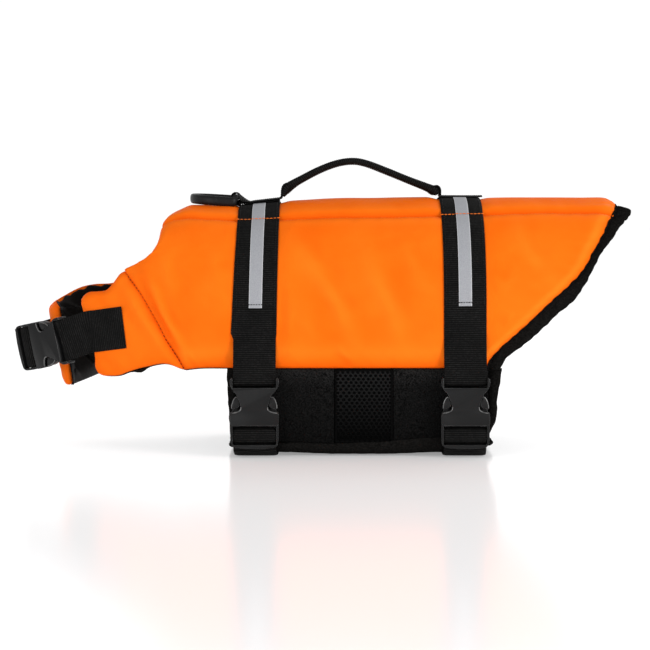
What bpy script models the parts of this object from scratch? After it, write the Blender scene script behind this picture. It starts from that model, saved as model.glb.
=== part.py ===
"""A dog's life jacket: foam-padded orange panels with a black lining, standing hollow on its belly.

Metres, +Z up. The head end is at -X, the tail end at +X, and the dog's left side, where the girth
buckles are, at -Y. The origin is on the surface that the jacket stands on, on the mid-plane, midway
between the two girth straps.
"""

import bisect
import math
from collections import namedtuple

import bpy
import bmesh
import numpy as np
from mathutils import Matrix, Vector

# Driving dimensions
GAP = 0.0003
WEBBING_WIDTH = 0.0375
WEBBING = 0.0014
DOUBLE_WEBBING = 0.0020
TAPE_WIDTH = 0.0120
TAPE = 0.0004
GIRTH_X = 0.0915
PAD = 0.0085
PAD_AT_SEAM = 0.0040
SEAM_DIP = 0.0015
LINING = 0.0012
FLAP = 0.0030
FLAP_INSET = 0.0045
BINDING = 0.0070
WIDEST_Z = 0.110
LOW_SQUARENESS = 7.0
PANEL_FOOT_Z = 0.0785
NECK_X = -0.1800
RAIL_START = -0.1500
TAIL_X = 0.2300
TAIL_TIP_X = 0.2430

LEFT = -1
RIGHT = 1

# The torso, neck to tail: the ridge's height, the widest half-width, how square the upper section
# is, and half the width of the spine panel.
Station = namedtuple("Station", "x ridge half squareness spine")
STATIONS = (
    Station(-0.1800, 0.2085, 0.0900, 3.6, 0.0480),
    Station(-0.1650, 0.2172, 0.0945, 3.0, 0.0515),
    Station(-0.1530, 0.2218, 0.0970, 2.7, 0.0540),
    Station(-0.1060, 0.2218, 0.1030, 2.4, 0.0580),
    Station(-0.0730, 0.2250, 0.1050, 2.3, 0.0600),
    Station(0.0000, 0.2284, 0.1055, 2.3, 0.0620),
    Station(0.0730, 0.2286, 0.1050, 2.3, 0.0605),
    Station(0.1500, 0.2286, 0.0985, 2.4, 0.0540),
    Station(0.2150, 0.2282, 0.0860, 2.5, 0.0460),
    Station(0.2430, 0.2190, 0.0780, 2.6, 0.0430),
)

# The widest line in plan, from the shoulder round the front of the chest and past its middle.
Plan = namedtuple("Plan", "x half")
FRONT_RAIL = (
    Plan(-0.1500, 0.0975),
    Plan(-0.1800, 0.0900),
    Plan(-0.2050, 0.0825),
    Plan(-0.2300, 0.0715),
    Plan(-0.2545, 0.0560),
    Plan(-0.2750, 0.0340),
    Plan(-0.2865, 0.0120),
    Plan(-0.2880, 0.0000),
    Plan(-0.2850, -0.0140),
    Plan(-0.2790, -0.0280),
    Plan(-0.2700, -0.0400),
)

# Grid lines of the back and the sides. The girth straps' edges lie on four of the columns, their
# sewn part ends on a row, and the neckline meets the collar seam on another.
STRAP_EDGES = (
    -GIRTH_X - WEBBING_WIDTH / 2,
    -GIRTH_X + WEBBING_WIDTH / 2,
    GIRTH_X - WEBBING_WIDTH / 2,
    GIRTH_X + WEBBING_WIDTH / 2,
)
FRONT_PARTS = (0.0, 0.12, 0.38, 0.70, 1.0)
REAR_PARTS = (0.0, 0.32, 0.62, 0.88, 1.0)
MIDDLE_COLUMNS = (-0.0250, 0.0250)
STRAP_COLUMNS = {"front": (4, 5), "rear": (8, 9)}
ROWS = (0.0, 0.045, 0.12, 0.21, 0.31, 0.41, 0.505, 0.60, 0.69, 0.78, 0.87, 0.95, 1.0)
CORNER_ROW = 4
END_ROW = 7
BACK_ROWS = (-1.0, -0.88, -0.60, -0.30, 0.0, 0.30, 0.60, 0.88, 1.0)
COLLAR_COLUMNS = (0.0, 0.07, 0.2, 0.35, 0.5, 0.65, 0.8, 0.93, 1.0)

# Edges of the panels, as distance along the plan line (u) against height (z).
Edge = namedtuple("Edge", "u z")
NECKLINE = (
    Edge(-0.1800, 0.2055),
    Edge(-0.1820, 0.1917),
    Edge(-0.1875, 0.1825),
    Edge(-0.1930, 0.1764),
    Edge(-0.2045, 0.1704),
    Edge(-0.2189, 0.1653),
)
COLLAR_SEAM = (
    Edge(-0.2189, 0.1653),
    Edge(-0.2136, 0.1600),
    Edge(-0.1971, 0.1420),
    Edge(-0.1817, 0.1179),
    Edge(-0.1743, 0.1037),
    Edge(-0.1642, 0.0886),
    Edge(-0.1567, 0.0765),
)
SIDE_FOOT = (
    Edge(-0.1567, 0.0765),
    Edge(-0.1400, 0.0783),
    Edge(-0.1150, 0.0785),
    Edge(0.1050, 0.0785),
    Edge(0.1120, 0.0785),
)
TAIL_LINE = (
    Edge(0.2300, 0.2170),
    Edge(0.2230, 0.2040),
    Edge(0.2150, 0.1875),
    Edge(0.2065, 0.1740),
    Edge(0.1960, 0.1615),
    Edge(0.1840, 0.1485),
    Edge(0.1675, 0.1345),
    Edge(0.1500, 0.1175),
    Edge(0.1390, 0.1080),
    Edge(0.1270, 0.0985),
    Edge(0.1160, 0.0870),
    Edge(0.1120, 0.0785),
)
TAIL_RIM = (
    Edge(0.2430, 0.2094),
    Edge(0.2330, 0.1985),
    Edge(0.2245, 0.1850),
    Edge(0.2150, 0.1705),
    Edge(0.2055, 0.1575),
    Edge(0.1935, 0.1415),
    Edge(0.1800, 0.1295),
    Edge(0.1620, 0.1135),
    Edge(0.1480, 0.1015),
    Edge(0.1370, 0.0935),
    Edge(0.1280, 0.0855),
    Edge(0.1240, 0.0787),
)
LEFT_COLLAR_TOP = (
    Edge(-0.2189, 0.1653),
    Edge(-0.2245, 0.1620),
    Edge(-0.2300, 0.1537),
    Edge(-0.2360, 0.1472),
    Edge(-0.2450, 0.1457),
    Edge(-0.2552, 0.1450),
    Edge(-0.2616, 0.1421),
    Edge(-0.2652, 0.1370),
)
LEFT_COLLAR_FRONT = (
    Edge(-0.2652, 0.1370),
    Edge(-0.2600, 0.1280),
    Edge(-0.2490, 0.1040),
    Edge(-0.2455, 0.0860),
    Edge(-0.2455, 0.0785),
    Edge(-0.2425, 0.0725),
)
LEFT_COLLAR_FOOT = (
    Edge(-0.1567, 0.0765),
    Edge(-0.1627, 0.0779),
    Edge(-0.1712, 0.0809),
    Edge(-0.1797, 0.0812),
    Edge(-0.1973, 0.0774),
    Edge(-0.2094, 0.0740),
    Edge(-0.2210, 0.0700),
    Edge(-0.2374, 0.0696),
    Edge(-0.2425, 0.0725),
)
RIGHT_COLLAR_TOP = (
    Edge(-0.2189, 0.1653),
    Edge(-0.2300, 0.1560),
    Edge(-0.2450, 0.1498),
    Edge(-0.2650, 0.1490),
    Edge(-0.2826, 0.1465),
    Edge(-0.3052, 0.1392),
    Edge(-0.3225, 0.1345),
    Edge(-0.3420, 0.1335),
    Edge(-0.3560, 0.1300),
)
RIGHT_COLLAR_FRONT = (
    Edge(-0.3560, 0.1300),
    Edge(-0.3580, 0.1200),
    Edge(-0.3570, 0.1000),
    Edge(-0.3540, 0.0740),
    Edge(-0.3490, 0.0560),
)
RIGHT_COLLAR_FOOT = (
    Edge(-0.1567, 0.0765),
    Edge(-0.1800, 0.0790),
    Edge(-0.2100, 0.0740),
    Edge(-0.2400, 0.0680),
    Edge(-0.2800, 0.0600),
    Edge(-0.3200, 0.0550),
    Edge(-0.3490, 0.0560),
)

# The belly flaps and their three sections of cloth.
FLAP_EDGE = 0.0050
MESH_X = (-0.0233, 0.0283)
BELLY_RISE = 0.0017
BELLY_FLAT = 0.020
FLAP_TOP_Z = 0.0780

# Distances round the flaps from the middle of the belly: positive to the right, negative to the left.
FLAP_RUN = 0.150
LEFT_FLAP_ROWS = (-0.150, -0.140, -0.130, -0.120, -0.110, -0.100, -0.0905)
FOOT_BINDING_ROWS = (-0.0902, -0.0855, -0.0805)
RIGHT_LAP_ROWS = (-0.130, -0.120, -0.110, -0.100, -0.0905, -0.0805)
RIGHT_FLAP_ROWS = (-0.062, -0.045, -0.020, 0.020, 0.045, 0.062, 0.075, 0.085, 0.095, 0.108, 0.128, 0.150)
FLAP_COLUMNS = (-0.1130, -0.0725, -0.0460, -0.0200, 0.0200, 0.0460, 0.0725, 0.1150)

# The strap that crosses the chest, on the collar.
NECK_STRAP_U = -0.2125
NECK_STRAP_Z = 0.1134
NECK_STRAP_SLOPE = 0.14
NECK_STRAP_RIGHT = (-0.2125, -0.221, -0.230, -0.239, -0.248, -0.257, -0.265, -0.273, -0.281)

# The handle's centre line over the back, and its grip.
Rise = namedtuple("Rise", "x z wide thick")
HANDLE = (
    Rise(-0.0740, 0.2292, 0.0300, 0.0034),
    Rise(-0.0724, 0.2300, 0.0300, 0.0042),
    Rise(-0.0702, 0.2334, 0.0260, 0.0085),
    Rise(-0.0670, 0.2374, 0.0240, 0.0096),
    Rise(-0.0620, 0.2416, 0.0232, 0.0080),
    Rise(-0.0549, 0.2455, 0.0230, 0.0070),
    Rise(-0.0375, 0.2545, 0.0230, 0.0066),
    Rise(-0.0210, 0.2607, 0.0230, 0.0064),
    Rise(-0.0060, 0.2628, 0.0230, 0.0064),
    Rise(0.0070, 0.2605, 0.0230, 0.0064),
    Rise(0.0250, 0.2537, 0.0230, 0.0066),
    Rise(0.0440, 0.2460, 0.0230, 0.0066),
    Rise(0.0620, 0.2390, 0.0230, 0.0074),
    Rise(0.0685, 0.2360, 0.0245, 0.0096),
    Rise(0.0718, 0.2343, 0.0265, 0.0080),
    Rise(0.0740, 0.2331, 0.0300, 0.0036),
)

# The leash ring.
RING_BAR_X = -0.1138
RING_BAR_Z = 0.2298
RING_BAR = 0.0052
RING_LENGTH = 0.0445
RING_HALF = 0.0228
RING_RAIL = (0.0050, 0.0088)
RING_Z = 0.2272

# The side-release buckles, in millimetres along (l) from the ears, across (w) and out (t).
MM = 0.001
BUCKLE_HALF = 21.6
BUCKLE_THICK = 11.0
BUCKLE_MID = -6.0
EAR_HALF = 20.8
SLOT_HALF = 19.2
BAR = (-4.5, 2.8)
BAR_RADIUS = 2.4
BODY_TOP_L = 8.8
WAIST_L = 14.5
WAIST_HALF = 15.8
SHOULDER_L = 29.5
MOUTH_L = 42.0
FRAME_END_L = 61.5
CAVITY_THICK = 6.0
FRAME_THICK = 6.0

# Where the ears' ends of the buckles lie. The neck buckle runs down and across the chest.
GIRTH_BUCKLE_Y = -0.1045
GIRTH_BUCKLE_Z = 0.0700
NECK_BUCKLE_AT = Vector((-0.2608, -0.0540, 0.1015))
NECK_BUCKLE_RUN = Vector((-0.762, 0.625, -0.168)).normalized()
NECK_BUCKLE_UP = Vector((-0.200, 0.020, 0.980))

ORANGE = (0.98, 0.19, 0.011)
BLACK = (0.010, 0.010, 0.010)
LINING_BLACK = (0.013, 0.011, 0.010)
PLASTIC = (0.022, 0.022, 0.023)
SILVER = (0.36, 0.37, 0.39)


# Curves through tables


def unit(vector):
    return vector / np.linalg.norm(vector)


def smooth(xs, ys, x):
    """A curve through the points that never overshoots them; xs rise."""
    slopes = [(b - a) / (d - c) for a, b, c, d in zip(ys, ys[1:], xs, xs[1:])]
    i = min(max(bisect.bisect_right(xs, x) - 1, 0), len(xs) - 2)

    def tangent(k):
        if k == 0 or k == len(xs) - 1:
            return slopes[min(k, len(slopes) - 1)]
        before, after = slopes[k - 1], slopes[k]
        return 0.0 if before * after <= 0 else 2 * before * after / (before + after)

    width = xs[i + 1] - xs[i]
    t = min(max((x - xs[i]) / width, 0.0), 1.0)
    ends = ys[i] * (1 + 2 * t) * (1 - t) ** 2 + ys[i + 1] * t * t * (3 - 2 * t)
    return ends + width * (tangent(i) * t * (1 - t) ** 2 - tangent(i + 1) * t * t * (1 - t))


def station(x):
    """The torso's section at x."""
    columns = list(zip(*STATIONS))
    return Station(x, *(smooth(columns[0], column, x) for column in columns[1:]))


def ease(x, start, end):
    """0 before start, 1 past end, smooth between; start may be above end."""
    t = min(max((x - start) / (end - start), 0.0), 1.0)
    return t * t * (3 - 2 * t)


def spline(points, per_span=10):
    """A Catmull-Rom curve through the points."""
    points = np.array(points, float)
    ends = np.vstack([points[:1], points, points[-1:]])
    found = []
    for p0, p1, p2, p3 in zip(ends, ends[1:], ends[2:], ends[3:]):
        for t in np.arange(per_span) / per_span:
            bend = (2 * p0 - 5 * p1 + 4 * p2 - p3) * t * t + (3 * p1 - p0 - 3 * p2 + p3) * t ** 3
            found.append(0.5 * (2 * p1 + (p2 - p0) * t + bend))
    found.append(points[-1])
    return np.array(found)


def along(points, count):
    """Count points evenly spaced along a polyline."""
    points = np.array(points, float)
    steps = np.linalg.norm(np.diff(points, axis=0), axis=1)
    run = np.concatenate([[0.0], np.cumsum(steps)])
    where = np.linspace(0.0, run[-1], count) if np.isscalar(count) else np.array(count) * run[-1]
    return np.column_stack([np.interp(where, run, column) for column in points.T])


# The jacket's outer form

RAIL = spline(FRONT_RAIL)
RAIL_RUN = np.concatenate([[0.0], np.cumsum(np.linalg.norm(np.diff(RAIL, axis=0), axis=1))])


def rail(u):
    """The widest line in plan at u: its x, its half-width, and how far its inward side turns to +X."""
    if u >= RAIL_START:
        return u, station(u).half, 0.0
    run = RAIL_START - u
    step = 0.001
    x, half = (np.interp(run, RAIL_RUN, column) for column in RAIL.T)
    ahead = [np.interp(run + step, RAIL_RUN, column) for column in RAIL.T]
    behind = [np.interp(run - step, RAIL_RUN, column) for column in RAIL.T]
    turn = math.atan2(behind[1] - ahead[1], behind[0] - ahead[0])
    return float(x), float(half), turn * ease(u, NECK_X, NECK_X - 0.050)


def inset(half, squareness, ridge, z):
    """How far the section at height z lies inside its widest point."""
    if z >= WIDEST_Z:
        rise = min((z - WIDEST_Z) / (ridge - WIDEST_Z), 1.0)
        return half * (1 - (1 - rise ** squareness) ** (1 / squareness))
    drop = min((WIDEST_Z - z) / WIDEST_Z, 1.0)
    return half * (1 - (1 - drop ** LOW_SQUARENESS) ** (1 / LOW_SQUARENESS))


def wall(side, u, z):
    """A point on the outer form of a side or of the collar."""
    x, half, turn = rail(u)
    here = station(max(u, NECK_X))
    ahead = ease(u, NECK_X, NECK_X - 0.030)
    ridge = here.ridge - 0.003 * ahead
    squareness = here.squareness - 1.2 * ahead
    depth = inset(here.half, squareness, ridge, z)
    depth += 0.20 * ease(u, -0.240, -0.300) * max(0.127 - z, 0.0)
    return np.array([x + depth * math.sin(turn), side * (half - depth * math.cos(turn)), z])


def wall_normal(side, u, z):
    """The outward direction of the outer form at a point of a side or of the collar."""
    step = 0.0005
    along_u = wall(side, u + step, z) - wall(side, u - step, z)
    along_z = wall(side, u, z + step) - wall(side, u, z - step)
    return unit(np.cross(along_u, along_z)) * -side


def crest(x, y):
    """A point on the outer form of the back."""
    here = station(x)
    across = min(abs(y) / here.half, 1.0)
    rise = (1 - across ** here.squareness) ** (1 / here.squareness)
    return np.array([x, y, WIDEST_Z + (here.ridge - WIDEST_Z) * rise])


def crest_normal(x, y):
    """The outward direction of the outer form at a point of the back."""
    step = 0.0005
    along_x = crest(x + step, y) - crest(x - step, y)
    return unit(np.cross(along_x, crest(x, y + step) - crest(x, y - step)))


def seam_z(x):
    """The height of the seam between the back and a side."""
    return crest(x, station(x).spine)[2]


def belly(x, t, depth=0.0):
    """A point of the belly flaps' outer form at the distance t round it, moved inwards by depth."""
    half = station(x).half - FLAP_INSET
    floor = BELLY_RISE * ease(abs(x), BELLY_FLAT, STRAP_EDGES[2])
    angles = np.linspace(math.pi / 2, 0.0, 90)
    y = half * np.cos(angles) ** (2 / LOW_SQUARENESS)
    z = WIDEST_Z - (WIDEST_Z - floor) * np.sin(angles) ** (2 / LOW_SQUARENESS)
    kept = int(np.argmax(z > FLAP_TOP_Z))
    part = (FLAP_TOP_Z - z[kept - 1]) / (z[kept] - z[kept - 1])
    curve = np.column_stack([y, z])[: kept + 1]
    curve[-1] = curve[-2] + (curve[-1] - curve[-2]) * part
    run = np.concatenate([[0.0], np.cumsum(np.linalg.norm(np.diff(curve, axis=0), axis=1))])
    run *= FLAP_RUN / run[-1]

    def at(distance):
        return np.array([np.interp(distance, run, column) for column in curve.T])

    step = 0.001
    place = abs(t)
    point = at(place)
    tangent = unit(at(place + step) - at(max(place - step, 0.0)))
    if place <= BELLY_FLAT:
        point, tangent = np.array([place, floor]), np.array([1.0, 0.0])
    y, z = point + np.array([-tangent[1], tangent[0]]) * depth
    return np.array([x, math.copysign(y, t), z])


# Meshes


def material(name, colour, roughness, metallic=0.0):
    """A Principled material."""
    made = bpy.data.materials.new(name)
    made.use_nodes = True
    shader = made.node_tree.nodes["Principled BSDF"]
    shader.inputs["Base Color"].default_value = (*colour, 1.0)
    shader.inputs["Roughness"].default_value = roughness
    shader.inputs["Metallic"].default_value = metallic
    return made


def shown(name, mesh, colour, roughness=0.7, metallic=0.0):
    """An object of the mesh with its own material."""
    made = bpy.data.objects.new(name, mesh)
    mesh.materials.append(material(name, colour, roughness, metallic))
    mesh.shade_smooth()
    mesh.set_sharp_from_angle(angle=math.radians(35))
    bpy.context.scene.collection.objects.link(made)
    return made


def closed_mesh(name, points, faces):
    """A mesh with its faces turned out. Each quad is split along its first corner's diagonal."""
    mesh = bpy.data.meshes.new(name)
    work = bmesh.new()
    corners = [work.verts.new(point) for point in points]
    for face in faces:
        parts = [(face[0], face[1], face[2]), (face[0], face[2], face[3])] if len(face) == 4 else [face]
        for part in parts:
            work.faces.new([corners[k] for k in part])
    bmesh.ops.recalc_face_normals(work, faces=work.faces)
    work.to_mesh(mesh)
    work.free()
    return mesh


def slab(name, outer, inner, colour, roughness=0.7):
    """A panel between two grids of points."""
    rows, columns = outer.shape[:2]
    points = np.vstack([outer.reshape(-1, 3), inner.reshape(-1, 3)])
    under = rows * columns

    def at(i, j):
        return i * columns + j

    faces = []
    for i in range(rows - 1):
        for j in range(columns - 1):
            a, b, c, d = at(i, j), at(i + 1, j), at(i + 1, j + 1), at(i, j + 1)
            faces.append((a, b, c, d))
            faces.append((under + a, under + d, under + c, under + b))
    rim = [at(i, 0) for i in range(rows)] + [at(rows - 1, j) for j in range(1, columns)]
    rim += [at(i, columns - 1) for i in range(rows - 2, -1, -1)]
    rim += [at(0, j) for j in range(columns - 2, 0, -1)]
    for a, b in zip(rim, rim[1:] + rim[:1]):
        faces.append((b, a, under + a, under + b))
    return shown(name, closed_mesh(name, points, faces), colour, roughness)


def loft(name, sections, colour, roughness=0.7, metallic=0.0, ring=False):
    """A solid through closed sections of equal counts; a ring joins its last section to its first."""
    sections = np.array(sections)
    count, corners = sections.shape[:2]
    faces = []
    for i in range(count if ring else count - 1):
        after = (i + 1) % count
        for k in range(corners):
            j = (k + 1) % corners
            faces.append((i * corners + k, i * corners + j, after * corners + j, after * corners + k))
    if not ring:
        faces.append(tuple(range(corners)))
        faces.append(tuple((count - 1) * corners + k for k in reversed(range(corners))))
    return shown(name, closed_mesh(name, sections.reshape(-1, 3), faces), colour, roughness, metallic)


# Panels

Panel = namedtuple("Panel", "outer normals")


def parts_of(edge, fractions, per_span=6):
    """Points at fractions of the length of the smooth curve through an edge's points."""
    return along(spline(edge, per_span), fractions)


def coons(top, foot, front, rear, across, down):
    """A grid between four edges; top and foot run from front to rear, the others down."""
    a = np.array(across)[None, :, None]
    b = np.array(down)[:, None, None]
    top, foot = (np.array(edge)[None, :, :] for edge in (top, foot))
    front, rear = (np.array(edge)[:, None, :] for edge in (front, rear))
    ruled = (1 - b) * top + b * foot + (1 - a) * front + a * rear
    corners = (1 - b) * ((1 - a) * top[:, :1] + a * top[:, -1:])
    corners = corners + b * ((1 - a) * foot[:, :1] + a * foot[:, -1:])
    return ruled - corners


def fullness(across, down, reach):
    """0 on the edges of a panel and 1 further in than reach, on a grid."""
    a, b = np.array(across)[None, :], np.array(down)[:, None]
    near = np.minimum(np.minimum(a, 1 - a) / reach[0], np.minimum(b, 1 - b) / reach[1])
    t = np.clip(near, 0.0, 1.0)
    return t * t * (3 - 2 * t)


def drawn_in(grid):
    """How far each point of a grid moves so that its edges keep clear of their neighbours'."""
    moved = grid.copy()
    turned = moved.transpose(1, 0, 2)
    for view in (moved, moved[::-1], turned, turned[::-1]):
        step = view[1] - view[0]
        view[0] += step * (0.6 * GAP / np.linalg.norm(step, axis=1, keepdims=True))
    return moved - grid


def padded_panel(name, surface, normals, full):
    """A foam-filled panel and the lining under it: full is 1 where the foam is at its thickest."""
    full = full[..., None]
    outer = surface - normals * SEAM_DIP * (1 - full)
    outer += drawn_in(outer)
    inner = outer - normals * (PAD_AT_SEAM + (PAD - PAD_AT_SEAM) * full)
    slab(name, outer, inner, ORANGE, 0.42)
    face = inner - normals * GAP
    slab("lining_" + name, face, face - normals * LINING, LINING_BLACK, 0.8)
    return Panel(outer, normals)


def columns():
    """The x of each column of the back, and of the top of a side."""
    front = [NECK_X + (STRAP_EDGES[0] - NECK_X) * part for part in FRONT_PARTS]
    rear = [STRAP_EDGES[3] + (TAIL_X - STRAP_EDGES[3]) * part for part in REAR_PARTS]
    return front + [STRAP_EDGES[1], *MIDDLE_COLUMNS, STRAP_EDGES[2]] + rear


def side_panel(name, side):
    """From the back's seam to the foot, and from the neckline and collar seam to the tail binding."""
    xs = columns()
    first, last = STRAP_COLUMNS["front"][0], STRAP_COLUMNS["rear"][1]
    top = [(x, seam_z(x)) for x in xs]
    down = np.array(ROWS)
    corner = down[CORNER_ROW]
    neck = parts_of(NECKLINE, down[: CORNER_ROW + 1] / corner)
    front = np.vstack([neck, parts_of(COLLAR_SEAM, (down[CORNER_ROW:] - corner) / (1 - corner))[1:]])
    front[0] = top[0]
    tail = parts_of(TAIL_LINE, down)
    tail[0] = top[-1]
    upright = [[(x, z + (PANEL_FOOT_Z - z) * part) for part in down] for x, z in top]
    foot = parts_of(SIDE_FOOT[:3], FRONT_PARTS)
    foot[-1] = upright[first][-1]
    zone_front = coons(top[: first + 1], foot, front, upright[first], FRONT_PARTS, down)
    heel = [(STRAP_EDGES[3] + (tail[-1][0] - STRAP_EDGES[3]) * part, PANEL_FOOT_Z) for part in REAR_PARTS]
    zone_rear = coons(top[last:], heel, upright[last], tail, REAR_PARTS, down)
    middle = np.array(upright[first + 1 : last]).transpose(1, 0, 2)
    grid = np.concatenate([zone_front, middle, zone_rear], axis=1)
    surface = np.array([[wall(side, u, z) for u, z in row] for row in grid])
    normals = np.array([[wall_normal(side, u, z) for u, z in row] for row in grid])
    surface[0] = [crest(x, side * station(x).spine) for x in xs]
    normals[0] = [crest_normal(x, side * station(x).spine) for x in xs]
    across = (np.array(xs) - xs[0]) / (xs[-1] - xs[0])
    return padded_panel(name, surface, normals, fullness(across, down, (0.05, 0.12)))


def back_panel():
    """The panel along the back, between the two seams."""
    xs = columns()
    surface = np.array([[crest(x, v * station(x).spine) for x in xs] for v in BACK_ROWS])
    normals = np.array([[crest_normal(x, v * station(x).spine) for x in xs] for v in BACK_ROWS])
    across = (np.array(xs) - xs[0]) / (xs[-1] - xs[0])
    down = (np.array(BACK_ROWS) + 1) / 2
    return padded_panel("back", surface, normals, fullness(across, down, (0.05, 0.2)))


def collar_panel(name, side, top, front, foot):
    """From the collar seam forward to the flap's front edge."""
    down = (np.array(ROWS[CORNER_ROW:]) - ROWS[CORNER_ROW]) / (1 - ROWS[CORNER_ROW])
    seam = parts_of(COLLAR_SEAM, down)
    top, foot = parts_of(top, COLLAR_COLUMNS), parts_of(foot, COLLAR_COLUMNS)
    grid = coons(top, foot, seam, parts_of(front, down), COLLAR_COLUMNS, down)
    surface = np.array([[wall(side, u, z) for u, z in row] for row in grid])
    normals = np.array([[wall_normal(side, u, z) for u, z in row] for row in grid])
    return padded_panel(name, surface, normals, fullness(COLLAR_COLUMNS, down, (0.15, 0.2)))


# Edge bindings


def tape_section(inner, outer, normal, thick):
    """The folded tape's section: flat faces with a round outer edge."""
    across = outer - inner
    far = outer - across * 0.18
    drop = normal * thick
    near_rim = outer - across * 0.04
    return [
        inner,
        far,
        near_rim - drop * 0.22,
        outer - drop * 0.5,
        near_rim - drop * 0.78,
        far - drop,
        inner - drop,
    ]


def binding(name, edge, normals, rim):
    """The tape along the edge of a panel, out to a rim."""
    sections = []
    for start, normal, end in zip(edge, normals, rim):
        out = end - start
        out = unit(out - normal * np.dot(out, normal))
        lifted = start + normal * 0.0006 + out * GAP
        sections.append(tape_section(lifted, end - normal * 0.0006, normal, BINDING))
    sections = np.array(sections)
    for end, after in ((0, 1), (-1, -2)):
        step = sections[after] - sections[end]
        sections[end] += step * (0.6 * GAP / np.linalg.norm(step, axis=1, keepdims=True))
    loft(name, sections, BLACK, 0.85)


def tail_bindings(back, left, right):
    """The tape round the tail opening, in three lengths."""
    corner = station(TAIL_TIP_X).spine
    over = [crest(TAIL_TIP_X, v * corner) for v in BACK_ROWS]
    binding("binding_tail_top", back.outer[:, -1], back.normals[:, -1], over)
    for panel, side, word in ((left, LEFT, "left"), (right, RIGHT, "right")):
        rim = [wall(side, u, z) for u, z in parts_of(TAIL_RIM, ROWS)]
        rim[0] = crest(TAIL_TIP_X, side * corner)
        binding(f"binding_tail_{word}", panel.outer[:, -1], panel.normals[:, -1], rim)


# Belly flaps


def right_flap_depth(t):
    """The right flap passes inside the left one where they lap."""
    return (FLAP + GAP) * ease(t, RIGHT_FLAP_ROWS[0], RIGHT_LAP_ROWS[-1])


def flap(name, xs, rows, depth_of=lambda t: 0.0):
    """A section of a belly flap."""
    outer = np.array([[belly(x, t, depth_of(t)) for x in xs] for t in rows])
    inner = np.array([[belly(x, t, depth_of(t) + FLAP) for x in xs] for t in rows])
    slab(name, outer, inner, BLACK, 0.95)


def flap_edge(name, x, out, rows, depth_of=lambda t: 0.0):
    """The tape down a flap's front or rear edge."""
    sections = []
    near, middle, far = (x + out * reach for reach in (GAP, FLAP_EDGE * 0.75, FLAP_EDGE))
    for t in rows:
        depth = depth_of(t)
        outline = ((near, 0), (middle, 0), (far, FLAP / 2), (middle, FLAP), (near, FLAP))
        sections.append([belly(at, t, depth + more) for at, more in outline])
    loft(name, sections, BLACK, 0.85)


def belly_flaps():
    """The left flap in three sections, the right one, which laps inside it, and their edge tapes."""
    right_rows = RIGHT_LAP_ROWS + RIGHT_FLAP_ROWS
    cuts = (FLAP_COLUMNS[0], *MESH_X, FLAP_COLUMNS[-1])
    for name, start, end in zip(("front", "mesh", "rear"), cuts, cuts[1:]):
        low, high = start + GAP / 2, end - GAP / 2
        inside = [x for x in FLAP_COLUMNS if low + 0.005 < x < high - 0.005]
        flap(f"flap_left_{name}", [low, *inside, high], LEFT_FLAP_ROWS)
    flap("flap_right", FLAP_COLUMNS, right_rows, right_flap_depth)
    for end, x, out in (("front", FLAP_COLUMNS[0], -1), ("rear", FLAP_COLUMNS[-1], 1)):
        flap_edge(f"binding_flap_left_{end}", x, out, LEFT_FLAP_ROWS)
        flap_edge(f"binding_flap_right_{end}", x, out, right_rows, right_flap_depth)
    sections = []
    for x in (FLAP_COLUMNS[0] - FLAP_EDGE, *FLAP_COLUMNS, FLAP_COLUMNS[-1] + FLAP_EDGE):
        outer = [belly(x, t) for t in FOOT_BINDING_ROWS]
        sections.append(outer + [belly(x, t, FLAP) for t in reversed(FOOT_BINDING_ROWS)])
    loft("binding_flap_foot", sections, BLACK, 0.85)


# Straps


def band_sections(path, across, width=WEBBING_WIDTH, thick=WEBBING):
    """Sections of webbing whose middle runs along the path."""
    path = np.array(path)
    across = np.tile(across, (len(path), 1)) if np.ndim(across) == 1 else np.array(across)
    steps = np.array([unit(step) for step in np.diff(path, axis=0)])
    sections = []
    for k, (point, side) in enumerate(zip(path, across)):
        tangent = unit(steps[max(k - 1, 0)] + steps[min(k, len(steps) - 1)])
        side = unit(side)
        half, lift = side * width / 2, unit(np.cross(tangent, side)) * thick / 2
        sections.append([point - half - lift, point + half - lift, point + half + lift, point - half + lift])
    return sections


def band(name, path, across, width=WEBBING_WIDTH, thick=WEBBING):
    """Webbing along a path, with one cross direction or one for each point."""
    return loft(name, band_sections(path, across, width, thick), BLACK, 0.75)


def laid_sections(rows, low, thick, width=None):
    """Sections of webbing that lies on rows of (edge, other edge, normal, other normal)."""
    sections = []
    for a, b, normal_a, normal_b in rows:
        if width:
            middle, half = (a + b) / 2, unit(b - a) * width / 2
            a, b = middle - half, middle + half
            normal_a = normal_b = unit(normal_a + normal_b)
        high = low + thick
        sections.append([a + normal_a * low, b + normal_b * low, b + normal_b * high, a + normal_a * high])
    return sections


def panel_row(panel, row, pair):
    """A strap's two edge points on a row of a panel, and the normals there."""
    a, b = pair
    return panel.outer[row, a], panel.outer[row, b], panel.normals[row, a], panel.normals[row, b]


def between(first, second, part):
    return tuple(a + (b - a) * part for a, b in zip(first, second))


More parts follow.
